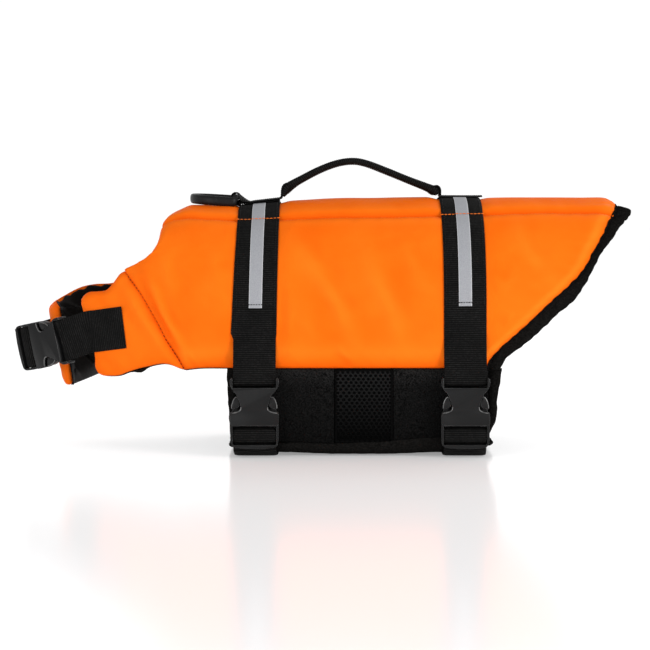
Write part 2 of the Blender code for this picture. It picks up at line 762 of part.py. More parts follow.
def girth_upper(end, back, left, right):
    """The sewn part of a girth strap, over the back, and its two reflective tapes."""
    pair = STRAP_COLUMNS[end]
    left_rows = [panel_row(left, row, pair) for row in range(END_ROW, -1, -1)]
    right_rows = [panel_row(right, row, pair) for row in range(END_ROW + 1)]
    over = [panel_row(back, row, pair) for row in range(len(BACK_ROWS))]
    seam_left = between(left_rows[-1], over[0], 0.5)
    seam_right = between(over[-1], right_rows[0], 0.5)
    hoop = left_rows[:-1] + [seam_left] + over[1:-1] + [seam_right] + right_rows[1:]
    loft(f"girth_{end}_upper", laid_sections(hoop, GAP, DOUBLE_WEBBING), BLACK, 0.75)
    lift = 2 * GAP + DOUBLE_WEBBING
    count = END_ROW + 4
    for word, rows in (("left", hoop[:count]), ("right", hoop[::-1][:count])):
        rows = [between(rows[0], rows[1], 0.05)] + list(rows[1:-1]) + [between(rows[-2], rows[-1], 0.80)]
        loft(f"reflective_{end}_{word}", laid_sections(rows, lift, TAPE, TAPE_WIDTH), SILVER, 0.35)


def side_rows(panel, pair, last):
    """The rows of a side that the single webbing lies on, from just under the sewn part."""
    rows = [panel_row(panel, row, pair) for row in range(END_ROW, last + 1)]
    rows[0] = between(rows[0], rows[1], 0.04)
    return laid_sections(rows, GAP, WEBBING)


def belly_row(t, pair):
    """A strap's two edge points on the belly, and the normals there."""
    a, b = (belly(x, t) for x in pair)
    outward = [unit(belly(x, t, -0.001) - belly(x, t)) for x in pair]
    return a, b, *outward


def girth_left(end, x, left):
    """From the upper part's left end down to the buckle, round its bar and up behind it."""
    path = [np.array([x, y, z]) for y, z in ((-0.1066, 0.0950), (-0.1086, 0.0850), (-0.1108, 0.0750))]
    path += [np.array([x, GIRTH_BUCKLE_Y + t * MM, GIRTH_BUCKLE_Z - l * MM]) for t, l in bar_turn()]
    sections = side_rows(left, STRAP_COLUMNS[end], END_ROW + 2)
    loft(f"girth_{end}_left", sections + band_sections(path, [1.0, 0.0, 0.0]), BLACK, 0.75)


def girth_right(end, x, right):
    """From the upper part's right end down the right side, under the belly and into the buckle."""
    first, last = STRAP_COLUMNS[end]
    sections = side_rows(right, (last, first), len(ROWS) - 1)
    edges = (x + WEBBING_WIDTH / 2, x - WEBBING_WIDTH / 2)
    rows = [belly_row(t, edges) for t in reversed(RIGHT_FLAP_ROWS[2:-1])]
    sections += laid_sections(rows, GAP, WEBBING)
    floor = ((-0.045, 0.0007), (-0.072, 0.0007), (-0.088, 0.0008), (-0.0985, 0.0018), (-0.1042, 0.0046))
    path = [np.array([x, y, z]) for y, z in floor]
    path += [np.array([x, GIRTH_BUCKLE_Y + t * MM, GIRTH_BUCKLE_Z - l * MM]) for t, l in ladder_turn()]
    loft(f"girth_{end}_right", sections + band_sections(path, [-1.0, 0.0, 0.0]), BLACK, 0.75)


# Buckles


def bar_turn():
    """The webbing's middle as (t, l) round the socket's bar, from its face to behind it."""
    reach = BAR_RADIUS + (GAP + WEBBING / 2) / MM
    turn = [
        (BAR[0] - reach * math.cos(a), BAR[1] + reach * math.sin(a))
        for a in np.radians([-15, 15, 45, 75, 105, 135, 165, 180])
    ]
    return turn + [(BAR[0] + reach, -1.0), (BAR[0] + reach, -5.0)]


def ladder_turn():
    """The webbing's middle as (t, l) behind the prong's end bar and over its middle bar."""
    return [
        (-1.9, 62.5), (-1.9, 58.8), (-2.7, 57.4), (-4.7, 55.5), (-6.6, 54.5), (-7.4, 54.1),
        (-7.75, 53.4), (-7.75, 50.0), (-7.4, 49.3), (-6.6, 48.9), (-4.6, 47.6), (-2.6, 46.7), (-1.9, 45.6),
    ]


def prism(name, outline, low, high):
    """A solid of an outline in (w, l), from t = low to t = high, in millimetres."""
    points = [(w * MM, t * MM, -l * MM) for t in (low, high) for w, l in outline]
    count = len(outline)
    faces = [(k, (k + 1) % count, count + (k + 1) % count, count + k) for k in range(count)]
    mesh = bpy.data.meshes.new(name)
    work = bmesh.new()
    corners = [work.verts.new(point) for point in points]
    for face in faces + [tuple(range(count)), tuple(reversed(range(count, 2 * count)))]:
        work.faces.new([corners[k] for k in face])
    bmesh.ops.recalc_face_normals(work, faces=work.faces)
    work.to_mesh(mesh)
    work.free()
    return mesh


def block(name, w, l, t):
    """A rectangular prism from three (low, high) pairs."""
    outline = [(w[0], l[0]), (w[1], l[0]), (w[1], l[1]), (w[0], l[1])]
    return prism(name, outline, t[0], t[1])


def rod(name, w, centre, radius, sides=12):
    """A round bar across the buckle, about (t, l)."""
    points = []
    for at in w:
        for a in np.arange(sides) * 2 * math.pi / sides:
            t, l = centre[0] + radius * math.cos(a), centre[1] + radius * math.sin(a)
            points.append((at * MM, t * MM, -l * MM))
    faces = [(k, (k + 1) % sides, sides + (k + 1) % sides, sides + k) for k in range(sides)]
    faces += [tuple(range(sides)), tuple(range(sides, 2 * sides))]
    return closed_mesh(name, points, faces)


def combine(target, name, mesh, operation):
    """A Boolean on the target, with a helper that moves with it."""
    tool = bpy.data.objects.new(f"{target.name}_{name}", mesh)
    tool.hide_render = True
    tool.display_type = "WIRE"
    tool.parent = target
    bpy.context.scene.collection.objects.link(tool)
    step = target.modifiers.new(name, "BOOLEAN")
    step.operation = operation
    step.object = tool


def both_sides(points):
    """An outline from its right half, given from the top down."""
    return points + [(-w, l) for w, l in reversed(points)]


def socket(name):
    """The buckle's socket: ears and a bar for the webbing, a waist, and a mouth for the prongs."""
    outline = both_sides([
        (EAR_HALF - 1.2, 0.0), (EAR_HALF, 1.0), (EAR_HALF + 0.3, 6.0), (EAR_HALF - 0.6, 9.0),
        (WAIST_HALF + 0.6, WAIST_L - 1.5), (WAIST_HALF, WAIST_L + 1.5), (WAIST_HALF, 22.0),
        (WAIST_HALF + 0.6, SHOULDER_L - 1.5), (BUCKLE_HALF - 0.8, SHOULDER_L), (BUCKLE_HALF, 32.0),
        (BUCKLE_HALF, MOUTH_L - 2.0), (BUCKLE_HALF - 1.0, MOUTH_L),
    ])
    made = shown(name, prism(name, outline, -1.0, -BUCKLE_THICK), PLASTIC, 0.42)
    combine(made, "slot", block("slot", (-SLOT_HALF, SLOT_HALF), (-2.0, BODY_TOP_L), (1, -14)), "DIFFERENCE")
    combine(made, "bar", rod("bar", (-SLOT_HALF - 0.6, SLOT_HALF + 0.6), BAR, BAR_RADIUS), "UNION")
    inside = (BUCKLE_MID - CAVITY_THICK / 2, BUCKLE_MID + CAVITY_THICK / 2)
    mouth = block("mouth", (-BUCKLE_HALF + 1.6, BUCKLE_HALF - 1.6), (26.0, 44.0), inside)
    combine(made, "mouth", mouth, "DIFFERENCE")
    return made


def prong(name):
    """The buckle's insert: a frame with a bar for the webbing, two arms and their release tabs."""
    low, high = BUCKLE_MID + FRAME_THICK / 2, BUCKLE_MID - FRAME_THICK / 2
    outline = both_sides([
        (BUCKLE_HALF - 0.6, MOUTH_L + 0.4), (BUCKLE_HALF - 0.6, FRAME_END_L - 2.6),
        (BUCKLE_HALF - 1.4, FRAME_END_L - 0.8), (BUCKLE_HALF - 3.2, FRAME_END_L),
    ])
    made = shown(name, prism(name, outline, low, high), PLASTIC, 0.42)
    for word, span in (("upper", (45.2, 50.0)), ("lower", (53.4, 59.0))):
        hole = block(word, (-SLOT_HALF, SLOT_HALF), span, (2, -15))
        combine(made, f"{word}_slot", hole, "DIFFERENCE")
    relief = block("relief", (-SLOT_HALF, SLOT_HALF), (49.0, 54.0), (high + 2.3, high - 3.0))
    combine(made, "relief", relief, "DIFFERENCE")
    arm_half = CAVITY_THICK / 2 - 0.4
    tab_half = 3.9
    for word, sign in (("one", -1), ("two", 1)):
        arm = [(13.6, 26.6), (19.5, 26.6), (19.5, MOUTH_L + 1.5), (13.6, MOUTH_L + 1.5)]
        tab = [(16.4, 17.4), (18.6, 16.6), (20.2, 19.5), (20.9, 24.0), (20.6, 27.4), (17.0, 27.4)]
        arm = [(w * sign, l) for w, l in arm]
        tab = [(w * sign, l) for w, l in tab]
        combine(made, f"arm_{word}", prism("arm", arm, BUCKLE_MID + arm_half, BUCKLE_MID - arm_half), "UNION")
        combine(made, f"tab_{word}", prism("tab", tab, BUCKLE_MID + tab_half, BUCKLE_MID - tab_half), "UNION")
    return made


def buckle(end, place):
    """A fastened pair, placed by a matrix whose -Z runs along it and whose -Y faces out."""
    for piece in (socket(f"buckle_{end}_socket"), prong(f"buckle_{end}_prong")):
        piece.matrix_world = place


# Neck strap


def neck_place():
    """The neck buckle's matrix: it lies across the front of the chest."""
    run = NECK_BUCKLE_RUN
    out = run.cross(NECK_BUCKLE_UP).normalized()
    across = run.cross(out).normalized()
    place = Matrix((across, out, -run)).transposed().to_4x4()
    place.translation = NECK_BUCKLE_AT
    return place


def strap_frame(side, u, lift):
    """The middle of the strap on the collar at u, and its upward cross direction there."""
    z = NECK_STRAP_Z + NECK_STRAP_SLOPE * (u - NECK_STRAP_U)
    point, normal = wall(side, u, z), wall_normal(side, u, z)
    ahead = wall(side, u - 0.002, z - 0.002 * NECK_STRAP_SLOPE) - point
    up = unit(np.cross(normal, unit(ahead)))
    return point + normal * lift, up if up[2] > 0 else -up


def neck_straps(place):
    """The left strap to the socket and the right one to the prong."""

    def local(w, t, l):
        return np.array(place @ Vector((w * MM, t * MM, -l * MM)))

    across = np.array(place.to_3x3() @ Vector((1.0, 0.0, 0.0)))
    if across[2] < 0:
        across = -across
    lift = 2 * GAP + WEBBING / 2
    for word, side, us, turn in (
        ("left", LEFT, (-0.2125, -0.220, -0.228, -0.236, -0.244, -0.250), bar_turn()),
        ("right", RIGHT, NECK_STRAP_RIGHT, [(4.5, 68.0), (0.2, 65.0)] + ladder_turn()),
    ):
        frames = [strap_frame(side, u, lift) for u in us]
        path = [point for point, up in frames] + [local(0, t, l) for t, l in turn]
        band(f"neck_strap_{word}", path, [up for point, up in frames] + [across] * len(turn))


# On the back


def leash_ring():
    """A moulded D-shaped ring that lies forward on the back, turning on its straight bar."""
    bow = RING_HALF
    bend_x = RING_BAR_X - RING_LENGTH + RING_HALF + RING_RAIL[0] / 2
    path = [(RING_BAR_X, y) for y in (0.0, 0.0192)] + [(RING_BAR_X - 0.0012, 0.0218)]
    path += [(RING_BAR_X - back, RING_HALF) for back in (0.0040, 0.0130)]
    path += [(bend_x - bow * math.sin(a), bow * math.cos(a)) for a in np.radians([0, 22.5, 45, 67.5, 90])]
    half = np.array(path)
    loop = np.vstack([half, half[1:-1][::-1] * [1, -1]])
    tangents = np.roll(loop, -1, axis=0) - np.roll(loop, 1, axis=0)
    sections = []
    for (x, y), (tx, ty) in zip(loop, tangents):
        far = ease(x, RING_BAR_X - 0.002, RING_BAR_X - 0.013)
        wide = RING_BAR + (RING_RAIL[0] - RING_BAR) * far
        tall = RING_BAR + (RING_RAIL[1] - RING_BAR) * far
        z = RING_BAR_Z + (RING_Z - RING_BAR_Z) * far
        out = np.array([ty, -tx, 0.0]) / math.hypot(tx, ty)
        ring = []
        for a in np.radians(np.arange(0, 360, 36)):
            c, s = math.cos(a), math.sin(a)
            ring.append(np.array([x, y, z]) + out * c * wide / 2 + np.array([0, 0, s * tall / 2]))
        sections.append(ring)
    made = loft("leash_ring", sections, PLASTIC, 0.35, ring=True)
    pivot = Vector((RING_BAR_X, 0.0, RING_BAR_Z))
    made.data.transform(Matrix.Translation(-pivot))
    made.location = pivot


def back_webbing():
    """Webbing sewn along the spine: the ring's loop over the front strap, and the rear end."""
    half = WEBBING / 2
    strap_top = GAP + DOUBLE_WEBBING

    def low(x):
        a, b = STRAP_EDGES[:2] if x < 0 else STRAP_EDGES[2:]
        first, last = crest(a, 0.0)[2], crest(b, 0.0)[2]
        return first + (last - first) * (x - a) / (b - a) + strap_top + GAP + half

    def high(x):
        return low(x) + WEBBING + GAP

    reach = RING_BAR / 2 + 0.0006 + half
    path = [(x, high(x)) for x in (-0.0750, -0.0850, -0.0960)]
    path += [
        (RING_BAR_X + reach * math.sin(a), RING_BAR_Z + reach * math.cos(a))
        for a in np.radians([45, 20, -5, -30, -55, -80, -105, -130, -155, -180])
    ]
    path += [(x, low(x)) for x in (-0.1085, -0.0960, -0.0850, -0.0750)]
    band("spine_webbing_front", [(x, 0.0, z) for x, z in path], [0.0, 1.0, 0.0])
    rear = [(x, 0.0, low(x)) for x in (0.0746, 0.0915, 0.1125)]
    band("spine_webbing_rear", rear, [0.0, 1.0, 0.0])


def handle():
    """The folded webbing grip, arched between the two girth straps."""
    path = spline([row[:2] for row in HANDLE], 2)
    sizes = spline([row[2:] for row in HANDLE], 2)
    tangents = np.gradient(path, axis=0)
    sections = []
    for (x, z), (wide, thick), (tx, tz) in zip(path, sizes, tangents):
        out = np.array([-tz, 0.0, tx]) / math.hypot(tx, tz) * thick / 2
        side = np.array([0.0, wide / 2, 0.0])
        outline = ((-1, -0.4), (-0.8, -1), (0.8, -1), (1, -0.4), (1, 0.4), (0.8, 1), (-0.8, 1), (-1, 0.4))
        sections.append([np.array([x, 0.0, z]) + side * a + out * b for a, b in outline])
    loft("handle", sections, BLACK, 0.8)


def build():
    for thing in list(bpy.data.objects):
        bpy.data.objects.remove(thing, do_unlink=True)
    back = back_panel()
    left, right = side_panel("side_left", LEFT), side_panel("side_right", RIGHT)
    collar_panel("collar_left", LEFT, LEFT_COLLAR_TOP, LEFT_COLLAR_FRONT, LEFT_COLLAR_FOOT)
    collar_panel("collar_right", RIGHT, RIGHT_COLLAR_TOP, RIGHT_COLLAR_FRONT, RIGHT_COLLAR_FOOT)
    tail_bindings(back, left, right)
    belly_flaps()
    for end, x in (("front", -GIRTH_X), ("rear", GIRTH_X)):
        girth_upper(end, back, left, right)
        girth_left(end, x, left)
        girth_right(end, x, right)
        buckle(end, Matrix.Translation((x, GIRTH_BUCKLE_Y, GIRTH_BUCKLE_Z)))
    place = neck_place()
    buckle("neck", place)
    neck_straps(place)
    leash_ring()
    back_webbing()
    handle()


build()
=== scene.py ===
# %% [markdown]
# # A dog's life jacket
#
# The jacket stands hollow on its belly flap: padded orange panels with a black lining, two girth
# straps with side-release buckles, a collar held by a third one, a leash ring and a grab handle.
# A imported model already fixes every size and place. This notebook gives each piece its finished
# surface, and starts by loading that model.

import math
from collections import namedtuple

import bmesh
import bpy
import numpy as np
from mathutils import Matrix, Vector


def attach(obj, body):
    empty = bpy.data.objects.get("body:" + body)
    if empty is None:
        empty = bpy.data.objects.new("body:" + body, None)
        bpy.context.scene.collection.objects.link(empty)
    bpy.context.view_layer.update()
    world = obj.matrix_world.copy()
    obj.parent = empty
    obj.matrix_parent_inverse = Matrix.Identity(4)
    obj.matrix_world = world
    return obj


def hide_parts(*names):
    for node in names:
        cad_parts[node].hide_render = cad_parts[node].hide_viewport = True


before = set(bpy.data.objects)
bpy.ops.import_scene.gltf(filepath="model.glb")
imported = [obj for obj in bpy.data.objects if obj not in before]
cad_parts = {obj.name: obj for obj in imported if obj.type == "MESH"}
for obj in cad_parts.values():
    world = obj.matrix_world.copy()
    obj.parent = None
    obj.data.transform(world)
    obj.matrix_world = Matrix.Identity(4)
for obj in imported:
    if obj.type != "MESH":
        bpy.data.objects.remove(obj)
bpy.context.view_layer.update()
JACKET, RING_BODY = "jacket", "leash_ring"

# %% [markdown]
# ## Camera, floor and light
#
# A soft, nearly shadowless studio: a pale floor with a faint sheen, an even white surround and three
# lamps. The main one, at the right, gives the panels their soft shading, a weaker one fills the front
# left, and one behind lights the ridge. An even surround alone would leave the cloth flat. The floor
# glows a little, as a lit table does, so that the jacket's underside isn't lost in shadow. The colours
# stay plain with the Standard view.


# %% Helpers that add nodes
def add(tree, kind, inputs=None, **settings):
    """A node; each input is a socket to join or a value to set, by name or by place."""
    made = tree.nodes.new(kind)
    for name, value in settings.items():
        setattr(made, name, value)
    for name, value in (inputs or {}).items():
        if isinstance(value, bpy.types.NodeSocket):
            tree.links.new(value, made.inputs[name])
        else:
            made.inputs[name].default_value = value
    return made


def result(tree, kind, inputs=None, **settings):
    """The first output of a new node."""
    return add(tree, kind, inputs, **settings).outputs[0]


def calculate(tree, operation, *values):
    """A Math node's result; it serves shaders and geometry alike."""
    return result(tree, "ShaderNodeMath", dict(enumerate(values)), operation=operation)


def times(tree, first, second):
    return calculate(tree, "MULTIPLY", first, second)


def scaled(tree, value, factor, rest):
    """The value times a factor, plus the rest."""
    return calculate(tree, "MULTIPLY_ADD", value, factor, rest)


def remap(tree, value, low, high, first=0.0, last=1.0, **settings):
    """The value's stretch from low to high, made to run from first to last and clamped there."""
    inputs = {"Value": value, "From Min": low, "From Max": high, "To Min": first, "To Max": last}
    return result(tree, "ShaderNodeMapRange", inputs, **settings)


# %% Helpers that make meshes and show objects
def plain_mesh(name, points, edges=(), faces=()):
    """A mesh of those points, edges and faces."""
    made = bpy.data.meshes.new(name)
    made.from_pydata(points, edges, faces)
    return made


def write_mesh(work, mesh):
    """Turns a working mesh's faces outwards and writes it into a mesh, which it returns."""
    bmesh.ops.recalc_face_normals(work, faces=work.faces)
    work.to_mesh(mesh)
    work.free()
    return mesh


def evaluated(made):
    """The plain mesh of an object with its modifiers applied."""
    bpy.context.view_layer.update()
    return bpy.data.meshes.new_from_object(made.evaluated_get(bpy.context.evaluated_depsgraph_get()))


def show(name, data):
    """An object in the scene."""
    made = bpy.data.objects.new(name, data)
    bpy.context.scene.collection.objects.link(made)
    return made


# %% The camera
CAMERA_PLACE = (-0.0317, -1.8974, 0.2106)
CAMERA_TILT = 3.0
CAMERA_LENS = 113.26

camera = show("camera", bpy.data.cameras.new("camera"))
camera.location = CAMERA_PLACE
camera.rotation_euler = (math.radians(90.0 - CAMERA_TILT), 0.0, 0.0)
camera.data.lens = CAMERA_LENS
camera.data.sensor_width = 36.0
bpy.context.scene.camera = camera
bpy.context.scene.view_settings.view_transform = "Standard"
print("camera", CAMERA_PLACE, "lens", CAMERA_LENS)

# %% The floor, the surround and the lamps
FLOOR_HALF = 60.0
FLOOR_SHEEN = 0.38
FLOOR_GLOW = 0.29
WHITE = (1.0, 1.0, 1.0, 1.0)
SURROUND_LOW = 1.04
SURROUND_TOP = 0.50

corners = [(x * FLOOR_HALF, y * FLOOR_HALF, 0.0) for x, y in ((-1, -1), (1, -1), (1, 1), (-1, 1))]
floor_mesh = plain_mesh("floor", corners, faces=[(0, 1, 2, 3)])
show("floor", floor_mesh)

floor_finish = bpy.data.materials.new("pale_floor")
floor_finish.use_nodes = True
tree = floor_finish.node_tree
tree.nodes.clear()
matt = add(tree, "ShaderNodeBsdfDiffuse", {"Color": (0.96, 0.955, 0.96, 1.0)})
gloss = add(tree, "ShaderNodeBsdfGlossy", {"Color": WHITE, "Roughness": 0.18})
mixed = add(tree, "ShaderNodeMixShader", {0: FLOOR_SHEEN, 1: matt.outputs[0], 2: gloss.outputs[0]})
glow = add(tree, "ShaderNodeEmission", {"Color": WHITE, "Strength": FLOOR_GLOW})
lit = add(tree, "ShaderNodeAddShader", {0: mixed.outputs[0], 1: glow.outputs[0]})
add(tree, "ShaderNodeOutputMaterial", {"Surface": lit.outputs[0]})
floor_mesh.materials.append(floor_finish)

world = bpy.data.worlds.new("white_surround")
world.use_nodes = True
tree = world.node_tree
direction = add(tree, "ShaderNodeTexCoord").outputs["Generated"]
height = add(tree, "ShaderNodeSeparateXYZ", {0: direction}).outputs[2]
brightness = remap(tree, height, 0.10, 0.75, SURROUND_LOW, SURROUND_TOP, interpolation_type="SMOOTHSTEP")
tree.nodes["Background"].inputs["Color"].default_value = WHITE
tree.links.new(brightness, tree.nodes["Background"].inputs["Strength"])
bpy.context.scene.world = world


def lamp(name, place, aim, size, power):
    """A square soft lamp that looks at a point."""
    light = bpy.data.lights.new(name, "AREA")
    light.size = size
    light.energy = power
    made = show(name, light)
    made.location = place
    made.rotation_euler = (Vector(aim) - Vector(place)).to_track_quat("-Z", "Y").to_euler()


lamp("key_lamp", (1.6, -1.4, 0.75), (0.0, 0.0, 0.12), 0.7, 18.6)
lamp("fill_lamp", (-1.3, -1.8, 0.45), (-0.1, 0.0, 0.10), 1.0, 8.0)
lamp("rear_lamp", (1.2, 1.5, 1.8), (0.0, 0.0, 0.12), 1.2, 10.0)
print("floor, surround and", len(bpy.data.lights), "lamps")

# %% [markdown]
# ## The finishes
#
# Each finish is a small node tree on the Principled shader. The cloth patterns follow the pieces'
# own UV maps, which hold metres along and across the cloth, so that a weave keeps its pitch and its
# direction wherever the piece bends. Grain that has no direction reads Object coordinates. The shell
# cloth also reads an attribute of painted shading: its orange is painted deeper where a seam or a
# valley lies in shade, and painted paler where a ridge or a full hem catches the light.


# %% Sizes of the weaves, in metres
WEBBING_RIB = 0.0019
WEBBING_YARN = 0.0012
SHELL_YARN = 0.00055
TAPE_RIB = 0.0011


# %% Helpers for the finishes
def new_finish(name, colour, roughness, specular):
    """A Principled material; returns it with its tree and its shader."""
    made = bpy.data.materials.new(name)
    made.use_nodes = True
    shader = made.node_tree.nodes["Principled BSDF"]
    shader.inputs["Base Color"].default_value = (*colour, 1.0)
    shader.inputs["Roughness"].default_value = roughness
    shader.inputs["Specular IOR Level"].default_value = specular
    return made, made.node_tree, shader


def grey(value):
    return (value, value, value)


def cloth_axes(tree):
    """The UV map's two directions, in metres across and along the cloth."""
    place = add(tree, "ShaderNodeUVMap", uv_map="cloth")
    return add(tree, "ShaderNodeSeparateXYZ", {0: place.outputs[0]}).outputs[:2]


def ribs(tree, distance, pitch, shift=0.0):
    """A wave from 0 to 1 and back for each pitch of the distance."""
    turned = scaled(tree, distance, 2 * math.pi / pitch, shift)
    return scaled(tree, calculate(tree, "SINE", turned), 0.5, 0.5)


def noise(tree, size, detail=3.0, roughness=0.5):
    """Noise on Object coordinates, with features of about that size."""
    place = add(tree, "ShaderNodeTexCoord").outputs["Object"]
    inputs = {"Vector": place, "Scale": 1.0 / size, "Detail": detail, "Roughness": roughness}
    return add(tree, "ShaderNodeTexNoise", inputs).outputs["Fac"]


def bump(tree, shader, height, distance, strength):
    """Gives the shader's surface that relief."""
    inputs = {"Strength": strength, "Distance": distance, "Height": height}
    tree.links.new(result(tree, "ShaderNodeBump", inputs), shader.inputs["Normal"])


def shade_between(tree, shader, amount, low, high):
    """Base colour from low, a colour or a socket, to high by an amount from 0 to 1."""
    low = low if isinstance(low, bpy.types.NodeSocket) else (*low, 1.0)
    mixed = add(tree, "ShaderNodeMix", {0: amount, 6: low, 7: (*high, 1.0)}, data_type="RGBA")
    tree.links.new(mixed.outputs[2], shader.inputs["Base Color"])


def upright(tree, marks):
    """A value that runs straight between (height, value) marks."""
    place = add(tree, "ShaderNodeTexCoord").outputs["Object"]
    height = add(tree, "ShaderNodeSeparateXYZ", {0: place}).outputs[2]
    total = marks[0][1]
    for (low, first), (high, second) in zip(marks, marks[1:]):
        total = calculate(tree, "ADD", remap(tree, height, low, high, 0.0, second - first), total)
    return total


# %% Shell cloth: coated nylon with a satin face
SHELL_LOW = (0.93, 0.143, 0.0046)
SHELL_HIGH = (0.98, 0.172, 0.0076)
# Painted shade and painted highlight colours for the shell, mixed in by its painted shading attribute.
SHELL_PAINTED_SHADE = (0.80, 0.085, 0.0015)
SHELL_PAINTED_HIGHLIGHT = (1.0, 0.235, 0.0160)


def shell_cloth():
    """Orange, with a fine plain weave and slow unevenness in colour and sheen."""
    made, tree, shader = new_finish("orange_shell_cloth", SHELL_HIGH, 0.5, 0.012)
    across, along = cloth_axes(tree)
    weave = times(tree, ribs(tree, across, SHELL_YARN), ribs(tree, along, SHELL_YARN))
    slow = remap(tree, noise(tree, 0.045, 2.0), 0.3, 0.7)
    tone = scaled(tree, slow, 0.85, times(tree, weave, 0.15))
    shade_between(tree, shader, tone, SHELL_LOW, SHELL_HIGH)
    # Painted shade and painted highlight: the panels' attribute darkens seams and valleys and lightens ridges
    # and hem bands.
    painted_shading = add(tree, "ShaderNodeAttribute", attribute_name="painted_shading").outputs["Fac"]
    for amount, colour in ((times(tree, painted_shading, -1.0), SHELL_PAINTED_SHADE), (painted_shading, SHELL_PAINTED_HIGHLIGHT)):
        shade_between(tree, shader, amount, shader.inputs["Base Color"].links[0].from_socket, colour)
    rough = scaled(tree, noise(tree, 0.012), 0.16, 0.40)
    tree.links.new(rough, shader.inputs["Roughness"])
    crinkle = scaled(tree, noise(tree, 0.007, 4.0), 1.6, times(tree, weave, 0.10))
    bump(tree, shader, crinkle, 0.0003, 0.55)
    return made


# %% Webbing, tape and lining: black woven cloths
def webbing_cloth():
    """Black flat webbing: ribs across it, and yarns that cross them by turns."""
    made, tree, shader = new_finish("black_webbing", grey(0.006), 0.6, 0.05)
    across, along = cloth_axes(tree)
    rib = ribs(tree, along, WEBBING_RIB, math.pi / 2)
    yarns = ribs(tree, across, WEBBING_YARN)
    fleck = remap(tree, noise(tree, 0.0014, 3.0, 0.7), 0.40, 0.70)
    slow = remap(tree, noise(tree, 0.014, 2.0), 0.3, 0.7)
    weave = times(tree, rib, scaled(tree, yarns, 0.6, 0.4))
    tone = times(tree, weave, scaled(tree, fleck, 0.75, 0.25))
    tone = times(tree, tone, scaled(tree, slow, 0.5, 0.6))
    shade_between(tree, shader, tone, grey(0.0015), (0.0330, 0.0322, 0.0310))
    bump(tree, shader, weave, 0.0004, 0.7)
    return made


def binding_cloth():
    """Black ribbed tape, folded over the edges and a little frayed in tone."""
    made, tree, shader = new_finish("black_binding_tape", grey(0.006), 0.8, 0.0)
    rib = ribs(tree, cloth_axes(tree)[0], TAPE_RIB)
    fleck = remap(tree, noise(tree, 0.0016, 3.0, 0.7), 0.35, 0.8)
    tone = times(tree, fleck, scaled(tree, rib, 0.5, 0.5))
    shade_between(tree, shader, tone, (0.0035, 0.0033, 0.0031), (0.0190, 0.0180, 0.0170))
    bump(tree, shader, tone, 0.0004, 0.8)
    return made


def lining_cloth():
    """Thin black-brown nylon with a faint weave."""
    made, tree, shader = new_finish("black_lining", (0.0045, 0.0033, 0.0028), 0.5, 0.08)
    across, along = cloth_axes(tree)
    weave = times(tree, ribs(tree, across, 0.0009), ribs(tree, along, 0.0009))
    tone = scaled(tree, weave, 0.4, times(tree, noise(tree, 0.02), 0.6))
    shade_between(tree, shader, tone, (0.0028, 0.0020, 0.0016), (0.0075, 0.0055, 0.0045))
    bump(tree, shader, weave, 0.00012, 0.6)
    return made


# %% Loop cloth and mesh for the belly flaps
def loop_cloth():
    """Brushed loop cloth: matte and grainy, with painted shade darkening it towards its foot and a painted
    highlight near its top.
    """
    made, tree, shader = new_finish("black_loop_cloth", grey(0.005), 0.92, 0.0)
    fine = noise(tree, 0.0011, 3.0, 0.65)
    tufts = noise(tree, 0.005, 3.0, 0.6)
    tips = remap(tree, fine, 0.38, 0.68)
    tone = times(tree, tips, scaled(tree, tufts, 1.0, 0.4))
    # Painted shade by height: darker towards the flap's foot, paler near its top.
    tone = times(tree, tone, upright(tree, ((0.0100, 0.40), (0.0620, 0.78), (0.0750, 1.60))))
    shade_between(tree, shader, tone, grey(0.0018), (0.0190, 0.0187, 0.0185))
    height = scaled(tree, fine, 0.7, times(tree, tufts, 0.5))
    bump(tree, shader, height, 0.0007, 0.8)
    return made


def mesh_back_cloth():
    """The close black knit behind the mesh and in its hems."""
    made, tree, shader = new_finish("black_mesh_back", grey(0.004), 0.8, 0.0)
    across, along = cloth_axes(tree)
    knit = times(tree, ribs(tree, across, 0.0012), ribs(tree, along, 0.0010))
    shade_between(tree, shader, knit, grey(0.0018), grey(0.0075))
    bump(tree, shader, knit, 0.0003, 0.7)
    return made


def mesh_cloth():
    """Black knitted mesh, with painted shade that darkens it towards its foot."""
    made, tree, shader = new_finish("black_mesh", grey(0.012), 0.75, 0.0)
    fleck = remap(tree, noise(tree, 0.0009, 2.0, 0.6), 0.3, 0.8)
    # Painted shade by height: darker towards the flap's foot.
    tone = times(tree, scaled(tree, fleck, 0.75, 0.25), upright(tree, ((0.010, 0.06), (0.070, 1.15))))
    shade_between(tree, shader, tone, grey(0.0004), grey(0.0190))
    bump(tree, shader, fleck, 0.0002, 0.6)
    return made


# %% Reflective tape, plastic and thread
REFLECTIVE_HALF = 0.0060
REFLECTIVE_BORDER = 0.0012


def reflective_cloth():
    """Grey bead-coated tape with paler borders; U runs from 0 at its middle."""
    made, tree, shader = new_finish("reflective_tape", (0.30, 0.31, 0.33), 0.45, 0.2)
    beads = noise(tree, 0.0008, 2.0)
    off_middle = calculate(tree, "ABSOLUTE", cloth_axes(tree)[0])
    edge = remap(tree, off_middle, REFLECTIVE_HALF - REFLECTIVE_BORDER, REFLECTIVE_HALF)
    tone = calculate(tree, "MAXIMUM", times(tree, beads, 0.35), edge)
    shade_between(tree, shader, tone, (0.238, 0.243, 0.265), (0.72, 0.73, 0.75))
    bump(tree, shader, beads, 0.0001, 0.4)
    return made


